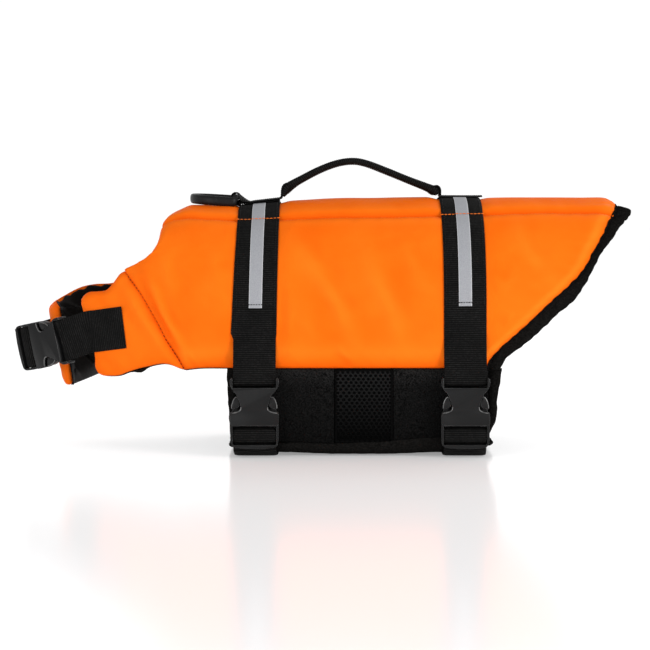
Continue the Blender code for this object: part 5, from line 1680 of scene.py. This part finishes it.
# %% The spine webbing
def spine_webbing():
    """The ring's loop over the front strap, and the end sewn over the rear one."""
    reach = RING_BAR / 2 + 0.0006 + WEBBING / 2
    path = [(x, strap_top(x) + WEBBING + GAP) for x in (-0.0735, -0.0850, -0.0960, -0.1020)]
    angles = np.radians(np.arange(60, -181, -15))
    path += [(RING_BAR_X + reach * math.sin(a), RING_BAR_Z + reach * math.cos(a)) for a in angles]
    path += [(-0.1122, 0.2257), (-0.1108, 0.2267), (-0.1094, 0.2276), (-0.1076, 0.2268)]
    path += [(-0.1050, strap_top(-0.1050) + 0.0004)]
    path += [(x, strap_top(x)) for x in (-0.0980, -0.0850, -0.0735)]
    over = [(x, strap_top(x)) for x in (0.0743, 0.0915, 0.1080, 0.1125)]
    for end, line, across in (("front", path, -1.0), ("rear", over, 1.0)):
        rows = free_rows(spline([(x, 0.0, z) for x, z in line], 4), [0.0, across, 0.0])
        webbing("spine_webbing_" + end, *draped(rows), -WEBBING / 2, WEBBING)


spine_webbing()

# %% [markdown]
# ## The handle
#
# A grip of folded webbing arches over the back, to lift the dog by. One rounded section, with a
# groove below where the webbing's edges meet, is carried along a short table of places that also
# gives its width and thickness. The ends of the spine webbing fold up round the grip.

# %% The handle: its centre line over the back and its grip
HANDLE_CORNERS = 26
# Along its middle: x, z, width and thickness, in millimetres.
HANDLE = (
    (-70.6, 230.4, 28, 3), (-70, 232.2, 27, 5), (-68.8, 235, 25.5, 7.8), (-66.2, 238.2, 24.5, 9),
    (-61.5, 241.6, 23.5, 8), (-54.9, 245.5, 23, 7), (-37.5, 254.5, 23, 6.6), (-21, 260.7, 23, 6.4),
    (-6, 262.8, 23, 6.4), (7, 260.5, 23, 6.4), (25, 253.7, 23, 6.6), (44, 246, 23, 6.6),
    (62, 239, 23, 7.4), (67.5, 236.4, 24.5, 8.8), (70.5, 234.6, 26.5, 8), (72.4, 232.6, 28, 4),
)


def handle():
    """Webbing folded round itself into a grip, with its ribs across it."""
    fine = spline(HANDLE, 12) * MM
    run = run_of(fine[:, :2])
    where = np.linspace(0.0, run[-1], int(run[-1] / (WEBBING_RIB / RIB_ROWS)))
    x, z, wide, thick = rows_at(where, run, fine).T
    out = unit(np.column_stack([-np.gradient(z), np.zeros(len(x)), np.gradient(x)]))
    wave = RIB_HEIGHT * np.cos(2 * math.pi * where / WEBBING_RIB)
    angles = 2 * math.pi * (np.arange(HANDLE_CORNERS) + 0.5) / HANDLE_CORNERS
    c, s = np.cos(angles), np.sin(angles)
    c, s = np.sign(c) * np.abs(c) ** 0.45, np.sign(s) * np.abs(s) ** 0.62
    groove = 0.0009 * np.exp(-((c / 0.16) ** 2)) * (s < 0)
    lift = (thick / 2 + wave)[:, None] * s + groove
    sections = np.column_stack([x, np.zeros(len(x)), z])[:, None] + out[:, None] * lift[..., None]
    sections[..., 1] += wide[:, None] / 2 * c
    sweep("handle_webbing", sections, WEBBING_FINISH, node="handle")


FRONT_FOLD = (
    (-73.2, 228.9), (-72.4, 229.2), (-71.8, 230.4), (-71.6, 233), (-71.4, 236.2), (-70.6, 239.2),
    (-68.8, 241.4), (-66.2, 242), (-63.8, 240.8), (-62.6, 238.6), (-63.6, 236.8),
)
REAR_FOLD = (
    (73.8, 230.8), (74.2, 231.6), (74.4, 233.8), (74.3, 236.4), (73.4, 238.6), (71.4, 239.8), (69, 239.4),
    (67.4, 237.8), (68, 236),
)


def handle_fold(name, path, width):
    """The end of the spine webbing, folded up and round the end of the grip."""
    points = [(x * MM, 0.0, z * MM) for x, z in path]
    base, normals = free_rows(spline(points, 5), [0.0, 1.0, 0.0])
    base[..., 1] *= width / WEBBING_WIDTH
    webbing(name, base, normals, -WEBBING * 0.8, 1.5 * WEBBING, node="handle")


handle()
handle_fold("handle_front_fold", FRONT_FOLD, 0.0250)
handle_fold("handle_rear_fold", REAR_FOLD, 0.0245)
print("handle and ring done")

# %% [markdown]
# ## Buckles
#
# The three side-release buckles are one design in moulded plastic. The socket has ears that hold a
# bar for the webbing, a waist, and two lens-shaped windows; the prong half shows its two ribbed
# release tabs there, and ends in a ladder lock. One pair is built from outlines with Booleans, its
# edges are rounded by a Bevel, and copies go to the three places. The tabs' ribs repeat, so a small
# Geometry Nodes tree makes them.

# %% Half outlines of the buckle's pieces: across and along from the ears' tips, in millimetres
SOCKET_EDGE = (
    (20.2, -0.3), (21.2, 0.7), (21.4, 3.0), (21.0, 6.0), (19.5, 9.0), (17.6, 11.4), (16.0, 13.1),
    (15.0, 15.0), (14.1, 17.4), (13.0, 20.2), (12.1, 22.9), (11.8, 25.0), (12.2, 26.6), (13.4, 27.8),
    (15.6, 28.7), (18.2, 29.2), (20.0, 29.3), (20.9, 30.4), (21.2, 34.5), (21.1, 39.2), (20.5, 40.6),
    (8.0, 41.2),
)
TAB_EDGE = (
    (15.4, 15.6), (16.9, 16.2), (18.4, 18.4), (19.6, 21.6), (20.2, 24.4), (20.1, 26.3), (18.0, 26.4),
    (15.9, 25.8), (14.2, 24.9), (12.9, 23.8), (13.0, 23.0), (13.5, 21.0), (14.5, 18.2),
)
FRAME_EDGE = (
    (20.2, 36.0), (21.0, 40.9), (21.1, 48.0), (20.9, 55.2), (20.2, 58.2), (18.2, 60.2), (13.0, 61.2),
    (5.0, 61.7),
)
ARM_EDGE = ((13.6, 25.0), (19.3, 25.0), (19.3, 42.5), (13.6, 42.5))
SOCKET_FACES = (-1.0, -11.0)
FRAME_FACES = (-3.0, -9.2)
TAB_FACES = (-2.4, -10.4)
ARM_FACES = (-3.6, -6.2)
CAVITY = (-3.0, -9.6)
CAVITY_HALF = 19.9
SLOT_HALF = 19.2
BODY_TOP = 8.2
MOUTH = 41.0
BUCKLE_ROUND = 0.00085


# %% Building the buckle's meshes, and combining them
def join_rings(work, rings):
    """Quads between each ring of points and the next; returns them."""
    faces = []
    for first, second in zip(rings, rings[1:]):
        for k in range(len(first)):
            after = (k + 1) % len(first)
            faces.append(work.faces.new((first[k], first[after], second[after], second[k])))
    return faces


def prism(outline, low, high, sideways=False):
    """A mesh from an outline in (across, along) between two depths, or in (out, along) between two sides."""
    work = bmesh.new()
    rings = []
    for end in (low, high):
        corners = [(end, a, -b) if sideways else (a, end, -b) for a, b in outline]
        rings.append([work.verts.new(MM * part for part in corner) for corner in corners])
        work.faces.new(rings[-1])
    join_rings(work, rings)
    return write_mesh(work, bpy.data.meshes.new("prism"))


def block(half, along, depths):
    (near, far) = along
    return prism([(-half, near), (half, near), (half, far), (-half, far)], *depths)


def mirrored(edge):
    return list(edge) + [(-w, l) for w, l in reversed(edge)]


def combined(base, steps):
    """The base mesh after Booleans with each (operation, mesh), with its edges rounded."""
    helpers = [show("buckle_helper", mesh) for mesh in [base] + [mesh for word, mesh in steps]]
    main = helpers[0]
    for finish in (PLASTIC, PLASTIC_PAINTED_HIGHLIGHT):
        base.materials.append(finish)
    for (word, mesh), helper in zip(steps, helpers[1:]):
        cut = main.modifiers.new(word, "BOOLEAN")
        cut.operation = word
        cut.object = helper
    rounded = main.modifiers.new("round", "BEVEL")
    rounded.width = BUCKLE_ROUND
    rounded.segments = 3
    rounded.limit_method = "ANGLE"
    rounded.angle_limit = math.radians(32)
    rounded.harden_normals = True
    # The rounded faces take the second material, the painted edge highlight.
    rounded.material = 1
    made = evaluated(main)
    for helper in helpers:
        bpy.data.objects.remove(helper)
    return made


# %% The socket half and the prong half
angles = np.arange(20) * math.pi / 10
circle = [(BAR[0] + BAR_RADIUS * math.cos(a), BAR[1] + BAR_RADIUS * math.sin(a)) for a in angles]
socket_steps = [
    ("DIFFERENCE", block(SLOT_HALF, (-3.0, BODY_TOP), (2.0, -14.0))),
    ("UNION", prism(circle, -SLOT_HALF - 0.6, SLOT_HALF + 0.6, sideways=True)),
    ("DIFFERENCE", block(CAVITY_HALF, (24.0, 43.5), CAVITY)),
]
prong_steps = [
    ("DIFFERENCE", block(SLOT_HALF, (MOUTH + 0.6, 47.6), (2.0, -15.0))),
    ("DIFFERENCE", block(SLOT_HALF, (52.6, 58.4), (2.0, -15.0))),
    ("DIFFERENCE", block(SLOT_HALF, (46.5, 53.5), (-6.9, -13.0))),
]
for sign in (-1, 1):
    arm, tab = ([(w * sign, l) for w, l in edge] for edge in (ARM_EDGE, TAB_EDGE))
    prong_steps += [("UNION", prism(arm, *ARM_FACES)), ("UNION", prism(tab, *TAB_FACES))]
socket_mesh = combined(prism(mirrored(SOCKET_EDGE), *SOCKET_FACES), socket_steps)
prong_mesh = combined(prism(mirrored(FRAME_EDGE), *FRAME_FACES), prong_steps)
print("socket faces:", len(socket_mesh.polygons), "prong faces:", len(prong_mesh.polygons))

# %% [markdown]
# ## Repeats with Geometry Nodes
#
# Ribs, stitches and the cells of the mesh cloth are small shapes that repeat. Each has a tree that
# puts an instance at every point, makes the instances real and gives them their finish. The helper
# below builds a tree from its named inputs, and another one runs a tree on an object.


# %% Building and running a tree
def new_tree(name, inputs):
    """A Geometry Nodes tree with those inputs; returns it with a function that reads them."""
    tree = bpy.data.node_groups.new(name, "GeometryNodeTree")
    tree.interface.new_socket("Geometry", in_out="OUTPUT", socket_type="NodeSocketGeometry")
    for word, kind in inputs.items():
        tree.interface.new_socket(word, in_out="INPUT", socket_type=f"NodeSocket{kind}")
    source = tree.nodes.new("NodeGroupInput")
    return tree, lambda word: source.outputs[word]


def end_tree(tree, geometry, finish):
    """Makes the instances real, smooths and colours them."""
    real = result(tree, "GeometryNodeRealizeInstances", {0: geometry})
    smoothed = result(tree, "GeometryNodeSetShadeSmooth", {"Geometry": real})
    coloured = result(tree, "GeometryNodeSetMaterial", {"Geometry": smoothed, "Material": finish})
    add(tree, "NodeGroupOutput", {0: coloured})
    return tree


def run_tree(tree, mesh, values):
    """The plain mesh that a tree makes from a mesh, with its inputs set before it runs."""
    carrier = show("carrier", mesh)
    step = carrier.modifiers.new("repeat", "NODES")
    step.node_group = tree
    for item in tree.interface.items_tree:
        if item.in_out == "INPUT" and item.name in values:
            step[item.identifier] = values[item.name]
    made = evaluated(carrier)
    made.materials.clear()
    made.materials.append(values["Finish"])
    made.polygons.foreach_set("material_index", [0] * len(made.polygons))
    carrier.modifiers.clear()
    bpy.data.objects.remove(carrier)
    return made


# %% Ribs on the release tabs
def scaled_ball(tree, segments, rings, *sizes):
    """A ball stretched to three sizes."""
    inputs = {"Segments": segments, "Rings": rings, "Radius": 0.5}
    ball = result(tree, "GeometryNodeMeshUVSphere", inputs)
    size = result(tree, "ShaderNodeCombineXYZ", dict(enumerate(sizes)))
    return result(tree, "GeometryNodeTransform", {"Geometry": ball, "Scale": size})


def attribute(tree, name, kind):
    return result(tree, "GeometryNodeInputNamedAttribute", {"Name": name}, data_type=kind)


def rib_tree():
    """Rounded ribs side by side over a line of points, shorter towards one side."""
    inputs = {"Points": "Geometry", "Rib length": "Float", "Rib width": "Float", "Finish": "Material"}
    tree, given = new_tree("tab_ribs", inputs)
    shaped = scaled_ball(tree, 8, 6, given("Rib width"), given("Rib width"), given("Rib length"))
    scale = result(tree, "ShaderNodeCombineXYZ", {0: 1.0, 1: 1.0, 2: attribute(tree, "share", "FLOAT")})
    places = {"Points": given("Points"), "Instance": shaped, "Scale": scale}
    return end_tree(tree, result(tree, "GeometryNodeInstanceOnPoints", places), given("Finish"))


# Across, along, and the share of the full length.
RIBS_AT = ((14.4, 22.7, 0.45), (15.5, 22.0, 0.75), (16.6, 21.6, 0.95), (17.7, 21.9, 0.90), (18.7, 22.7, 0.65))
RIB_LENGTH = 0.0062
RIB_WIDTH = 0.00055
RIB_SUNK = 0.20

both = [(sign * w, l, share) for sign in (-1, 1) for w, l, share in RIBS_AT]
points = [(w * MM, (TAB_FACES[1] + RIB_SUNK) * MM, -l * MM) for w, l, share in both]
rib_points = plain_mesh("rib_points", points)
shares = rib_points.attributes.new("share", "FLOAT", "POINT")
shares.data.foreach_set("value", [share for w, l, share in both])
values = {"Rib length": RIB_LENGTH, "Rib width": RIB_WIDTH, "Finish": PLASTIC}
ribs_mesh = run_tree(rib_tree(), rib_points, values)
print("rib faces:", len(ribs_mesh.polygons))

# %% Raised beads under the windows and round the tabs, and the three pairs in their places
# A bead's path in (across, along), its radius and the face that it stands on, in millimetres.
WINDOW_PATH = ((11.65, 24.75), (11.75, 26.55), (12.75, 28.05), (14.85, 29.15), (17.65, 29.85), (19.85, 30.05))
TAB_PATH = ((15.6, 16.0), (16.8, 16.6), (18.2, 18.6), (19.3, 21.7), (19.8, 24.4), (19.7, 25.9))
WINDOW_BEAD = (WINDOW_PATH, 0.45, SOCKET_FACES[1])
TAB_BEAD = (TAB_PATH, 0.40, TAB_FACES[1])


def beads_on(path_points, radius, face):
    """A raised bead on either side of a half, each as rings of points."""
    found = []
    for sign in (-1, 1):
        path = spline([(sign * w, l) for w, l in path_points], 4)
        sections = []
        for (w, l), (tw, tl) in zip(path, unit(np.gradient(path, axis=0))):
            turned = [(radius * math.cos(a), radius * math.sin(a)) for a in 2 * math.pi * np.arange(8) / 8]
            ring = [(w - tl * c, face + 0.1 - s, -(l + tw * c)) for c, s in turned]
            sections.append([[part * MM for part in point] for point in ring])
        found.append(sections)
    return found


def buckle_half(name, meshes, beads, place):
    """One half of a buckle in its place, from its moulded meshes and its beads."""
    work = bmesh.new()
    for mesh in meshes:
        copy = mesh.copy()
        copy.transform(place)
        work.from_mesh(copy)
        bpy.data.meshes.remove(copy)
    for sections in beads:
        rings = [[work.verts.new(place @ Vector(point)) for point in ring] for ring in sections]
        ends = [work.faces.new(rings[0]), work.faces.new(rings[-1])]
        # The beads take the painted edge highlight.
        for face in ends + join_rings(work, rings):
            face.material_index = 1
    made = write_mesh(work, bpy.data.meshes.new(name))
    for finish in (PLASTIC, PLASTIC_PAINTED_HIGHLIGHT):
        made.materials.append(finish)
    made.shade_smooth()
    made.set_sharp_from_angle(angle=math.radians(40))
    piece_of(name + "_moulded", made, name)


places = {"neck": neck_place()}
for end, x in GIRTHS.items():
    places[end] = Matrix.Translation((x + lean_of(LEFT, x), GIRTH_BUCKLE_Y, GIRTH_BUCKLE_Z))
for end in ("front", "rear", "neck"):
    place = places[end]
    buckle_half(f"buckle_{end}_socket", [socket_mesh], beads_on(*WINDOW_BEAD), place)
    buckle_half(f"buckle_{end}_prong", [prong_mesh, ribs_mesh], beads_on(*TAB_BEAD), place)
print("three buckles done")

# %% [markdown]
# ## The mesh section
#
# The middle of the left flap is knitted mesh, so that water drains. Its oval holes stand in offset
# rows, and through them a dark knitted back shows. One cell, a strand ring round one hole, is
# repeated over a flat staggered grid, and the flat net is then wrapped on the belly's form, so that
# the holes keep their size. Holes that are only coloured would look flat at the flap's curved edge.

# %% One cell of the mesh
CELL_PITCH = 0.00446
CELL_ROW = 0.00300
HOLE = (0.00128, 0.00112)
NET = 0.0011
NET_LIFT = 0.0003


def cell_mesh():
    """A rounded strand ring between a hexagon, which fits its neighbours, and an oval hole."""
    rise = (CELL_ROW ** 2 - CELL_PITCH ** 2 / 4) / (2 * CELL_ROW)
    corners = np.array([(0.5 * CELL_PITCH, -rise), (0.5 * CELL_PITCH, rise), (0, CELL_ROW - rise)])
    corners = np.vstack([corners, -corners])
    sides = zip(corners, np.roll(corners, -1, axis=0))
    edge = np.vstack([a + (b - a) * t for a, b in sides for t in (0, 1 / 3, 2 / 3)])
    angles = np.arctan2(edge[:, 1], edge[:, 0])
    hole = np.column_stack([HOLE[0] * np.cos(angles), HOLE[1] * np.sin(angles)])
    rings = [(edge, NET), (0.5 * edge + 0.5 * hole, 0.86 * NET), (1.06 * hole, 0.5 * NET)]
    rings += [(hole, 0.0), (edge, 0.0)]
    points = [(x, y, z) for ring, z in rings for x, y in ring]
    index = np.arange(len(points)).reshape(len(rings), -1)
    near, far = index[:-1], index[1:]
    quads = np.stack([near, far, np.roll(far, -1, axis=1), np.roll(near, -1, axis=1)], axis=-1)
    return plain_mesh("mesh_cell", points, faces=quads.reshape(-1, 4).tolist())


# %% The tree that repeats the cell in offset rows
def net_tree():
    """A flat staggered grid of cells, welded where they meet."""
    inputs = {"Points": "Geometry", "Cell": "Object", "Columns": "Int", "Rows": "Int"}
    inputs.update({"Pitch": "Float", "Row height": "Float", "Finish": "Material"})
    tree, given = new_tree("mesh_cells", inputs)
    across = times(tree, given("Pitch"), calculate(tree, "SUBTRACT", given("Columns"), 1.0))
    down = times(tree, given("Row height"), calculate(tree, "SUBTRACT", given("Rows"), 1.0))
    sizes = {"Size X": across, "Size Y": down, "Vertices X": given("Columns"), "Vertices Y": given("Rows")}
    grid = result(tree, "GeometryNodeMeshGrid", sizes)
    row = calculate(tree, "MODULO", result(tree, "GeometryNodeInputIndex"), given("Rows"))
    odd = calculate(tree, "MODULO", row, 2.0)
    shift = times(tree, times(tree, odd, 0.5), given("Pitch"))
    offset = result(tree, "ShaderNodeCombineXYZ", {0: shift})
    staggered = result(tree, "GeometryNodeSetPosition", {"Geometry": grid, "Offset": offset})
    cell = add(tree, "GeometryNodeObjectInfo", {"Object": given("Cell")}).outputs["Geometry"]
    cells = result(tree, "GeometryNodeInstanceOnPoints", {"Points": staggered, "Instance": cell})
    real = result(tree, "GeometryNodeRealizeInstances", {0: cells})
    joined = result(tree, "GeometryNodeMergeByDistance", {"Geometry": real, "Distance": 0.00002})
    return end_tree(tree, joined, given("Finish"))


def close_net(mesh):
    """Walls round the net's open border, between its upper and its lower edge."""
    work = bmesh.new()
    work.from_mesh(mesh)
    border = [edge for edge in work.edges if edge.is_boundary]
    ends = [v for edge in border for v in edge.verts]
    below = {(round(v.co.x, 5), round(v.co.y, 5)): v for v in ends if v.co.z < NET / 2}
    for edge in border:
        a, b = edge.verts
        if a.co.z > NET / 2:
            low = [below[round(v.co.x, 5), round(v.co.y, 5)] for v in (a, b)]
            work.faces.new((a, b, low[1], low[0]))
    write_mesh(work, mesh)


# %% The net on the flap, over its knitted back
def belly_points(x, t, height):
    """Points over the belly's form at their own x, t and height."""
    xs, ts = np.linspace(x.min(), x.max(), 30), np.linspace(t.min(), t.max(), 120)
    points, normals = belly(xs, ts)
    panel = Panel(xs, ts, points, normals, points, points)
    return place_on(panel, x, t) + unit(place_on(panel, x, t, "normals")) * height[:, None]


def mesh_net():
    """The knitted mesh between the two brushed sections."""
    low, high = MESH_X[0] + 0.0005, MESH_X[1] - 0.0005
    top, foot = LEFT_FLAP_RUN[0] + 0.0009, LEFT_FLAP_RUN[1] - 0.0009
    stretch = float(run_of(belly_column((low + high) / 2)[0])[-1]) / FLAP_RUN
    columns, rows = round((high - low) / CELL_PITCH - 0.5), round((foot - top) * stretch / CELL_ROW - 0.3)
    cell = bpy.data.objects.new("cell", cell_mesh())
    values = {"Cell": cell, "Columns": columns, "Rows": rows, "Pitch": CELL_PITCH, "Row height": CELL_ROW}
    net = run_tree(net_tree(), bpy.data.meshes.new("empty"), {**values, "Finish": MESH_CLOTH})
    bpy.data.objects.remove(cell)
    close_net(net)
    flat = np.array([tuple(v.co) for v in net.vertices])
    ends = ((low, high), (top, foot))
    x, t = (np.interp(flat[:, k], (flat[:, k].min(), flat[:, k].max()), ends[k]) for k in (0, 1))
    slant = 0.0016 * np.sin((t - top) * 55) * ease(np.minimum(x - low, high - x), 0.0, 0.012)
    points = belly_points(x + slant, t, flat[:, 2] - NET)
    net.vertices.foreach_set("co", points.astype(np.float32).ravel())
    net.update()
    net.set_sharp_from_angle(angle=math.radians(50))
    piece = piece_of("flap_left_mesh_net", net, "flap_left_mesh")
    print("mesh holes:", columns * rows, "net faces:", len(net.polygons))


def mesh_back():
    """The knitted back, level with the net's face at its hems and behind the net elsewhere."""
    xs, ts = split((MESH_X[0] + GAP / 2, MESH_X[1] - GAP / 2), 0.0008), LEFT_TS
    points, normals = belly(xs, ts)
    x, t = np.meshgrid(xs, ts)
    side = np.minimum(x - xs[0], xs[-1] - x)
    end = np.minimum(np.abs(t - ts[0]), np.abs(t - ts[-1]))
    hem = ease(np.minimum(side + 0.0008, end), 0.0032, 0.0024) * (NET + NET_LIFT)
    outer = points + normals * (hem - NET - NET_LIFT)[..., None]
    uvs = np.stack([x, t], axis=-1)
    name = "flap_left_mesh"
    piece = cloth(name + "_back", outer, points - normals * FLAP, uvs, MESH_BACK, 0.3, name)


mesh_net()
mesh_back()

# %% [markdown]
# ## Stitches
#
# Thread is sewn in rows: orange along the spine seams, dark red in the collar seams, black on the
# webbing and tapes. Each row is a line of edges that carries the cloth's outward direction. The tree
# turns the line to a curve, divides it evenly and puts one small plump stitch at each place, turned
# along the line and standing off the cloth.


# %% The stitching tree
UNEVEN = {"Min": 0.82, "Max": 1.12}
STITCH_FACES = 30


def stitch_tree():
    """Stitches along every line of edges."""
    inputs = {"Lines": "Geometry", "Pitch": "Float", "Length": "Float", "Thickness": "Float"}
    tree, given = new_tree("sewn_stitches", {**inputs, "Finish": "Material", "Seed": "Int"})
    curve = result(tree, "GeometryNodeMeshToCurve", {"Mesh": given("Lines")})
    inputs = {"Curve": curve, "Length": given("Pitch")}
    even = result(tree, "GeometryNodeResampleCurve", inputs, mode="LENGTH")
    shaped = scaled_ball(tree, 6, 5, given("Length"), given("Thickness"), given("Thickness"))
    turned = result(tree, "GeometryNodeInputTangent")
    turned = result(tree, "FunctionNodeAlignRotationToVector", {"Vector": turned}, axis="X")
    inputs = {"Rotation": turned, "Vector": attribute(tree, "outward", "FLOAT_VECTOR")}
    turned = result(tree, "FunctionNodeAlignRotationToVector", inputs, axis="Z", pivot_axis="X")
    uneven = add(tree, "FunctionNodeRandomValue", data_type="FLOAT")
    for socket in uneven.inputs:
        if socket.type == "VALUE" and socket.name in UNEVEN:
            socket.default_value = UNEVEN[socket.name]
        if socket.name == "Seed":
            tree.links.new(given("Seed"), socket)
    amount = next(socket for socket in uneven.outputs if socket.type == "VALUE")
    places = {"Points": even, "Instance": shaped, "Rotation": turned, "Scale": amount}
    return end_tree(tree, result(tree, "GeometryNodeInstanceOnPoints", places), given("Finish"))


STITCHES = stitch_tree()
Stitch = namedtuple("Stitch", "pitch length thickness")


def sew(name, lines, finish, stitch):
    """One object of stitches along (points, outward directions) rows."""
    points = np.vstack([row for row, out in lines])
    outs = np.vstack([out for row, out in lines])
    edges, start = [], 0
    for row, out in lines:
        edges += [(start + k, start + k + 1) for k in range(len(row) - 1)]
        start += len(row)
    mesh = plain_mesh(name, points.tolist(), edges)
    outward = mesh.attributes.new("outward", "FLOAT_VECTOR", "POINT")
    outward.data.foreach_set("vector", outs.astype(np.float32).ravel())
    sizes = {"Pitch": stitch.pitch, "Length": stitch.length, "Thickness": stitch.thickness}
    made = run_tree(STITCHES, mesh, {**sizes, "Finish": finish, "Seed": len(points)})
    made.name = name
    piece_of(name, made)
    print(name, "stitches:", len(made.polygons) // STITCH_FACES)


# %% Lines on panels and on straps
CROSS_POINTS = 12


def panel_line(panel, across, down, lift):
    """A row over a panel, with its outward directions."""
    across, down = np.broadcast_arrays(np.asarray(across, float), np.asarray(down, float))
    normals = unit(place_on(panel, across, down, "normals"))
    return place_on(panel, across, down) + normals * lift, normals


def strap_line(rows, across, lift, part):
    """A row along part of a strap, at a place from -1 to 1 across it."""
    base, normals = rows
    first, last = int(part[0] * (len(base) - 1)), int(part[1] * (len(base) - 1)) + 1
    j = int(np.searchsorted(ACROSS, across) - 1)
    share = (across - ACROSS[j]) / (ACROSS[j + 1] - ACROSS[j])
    middle = base[first:last, j] * (1 - share) + base[first:last, j + 1] * share
    return middle + normals[first:last, j] * lift, normals[first:last, j]


def cross_line(rows, row, lift, reach=0.9):
    """A row across a strap."""
    base, normals = rows
    ends = np.linspace(-reach, reach, CROSS_POINTS)
    points = np.column_stack([np.interp(ends, ACROSS, base[row][:, k]) for k in range(3)])
    out = np.repeat(unit(normals[row].mean(axis=0))[None], CROSS_POINTS, axis=0)
    return points + out * lift, out


# %% Sew the jacket
STRAP_TOP = GAP + DOUBLE_WEBBING + 0.0001
SEAM_ROW = 0.014
TAPE_ROW = 2
END_ROWS = (2, 4)
SPINE_REACH = 0.97
orange_lines, black_lines, red_lines, tape_lines = [], [], [], []
for side, panel in SIDES.items():
    xs = panel.across
    for start, end in ((xs[0], STRAP_EDGES[0]), (STRAP_EDGES[1], STRAP_EDGES[2]), (STRAP_EDGES[3], xs[-1])):
        across = np.linspace(start + 0.001, end - 0.0005, 60)
        orange_lines.append(panel_line(panel, across, SEAM_ROW, -0.0001))
for end, rows in HOOPS.items():
    count = len(rows[0])
    for row in (UPPER_ROWS - 1, count - UPPER_ROWS):
        points, out = cross_line(rows, row, STRAP_TOP + 0.0004, SPINE_REACH)
        on_tape = ease(np.abs(np.linspace(-SPINE_REACH, SPINE_REACH, CROSS_POINTS)), 0.50, 0.30)
        orange_lines.append((points + out * (on_tape * 0.0006)[:, None], out))
    for row in (TAPE_ROW, count - 1 - TAPE_ROW):
        tape_lines.append(cross_line(rows, row, STRAP_TOP + TAPE + GAP + 0.0001, TAPE_WIDTH / WEBBING_WIDTH))
    for across in (-0.88, 0.88):
        black_lines.append(strap_line(rows, across, STRAP_TOP, (0.01, 0.99)))
    for row in (*END_ROWS, *(count - 1 - row for row in END_ROWS)):
        black_lines.append(cross_line(rows, row, STRAP_TOP))
for side, collar in COLLARS.items():
    red_lines.append(panel_line(collar, 0.0, np.linspace(0.02, 0.98, 80), 0.0002))
    black_lines.append(panel_line(SIDES[side], xs[-1] - 0.0002, np.linspace(0.0, 0.99, 100), 0.0002))
sew("stitches_orange", orange_lines, ORANGE_THREAD, Stitch(0.0031, 0.0030, 0.00075))
sew("stitches_dark_red", red_lines, SEAM_THREAD, Stitch(0.0036, 0.0026, 0.0008))
sew("stitches_black", black_lines, BLACK_THREAD, Stitch(0.0030, 0.0024, 0.0005))
sew("stitches_tape_ends", tape_lines, BLACK_THREAD, Stitch(0.0021, 0.0024, 0.0008))
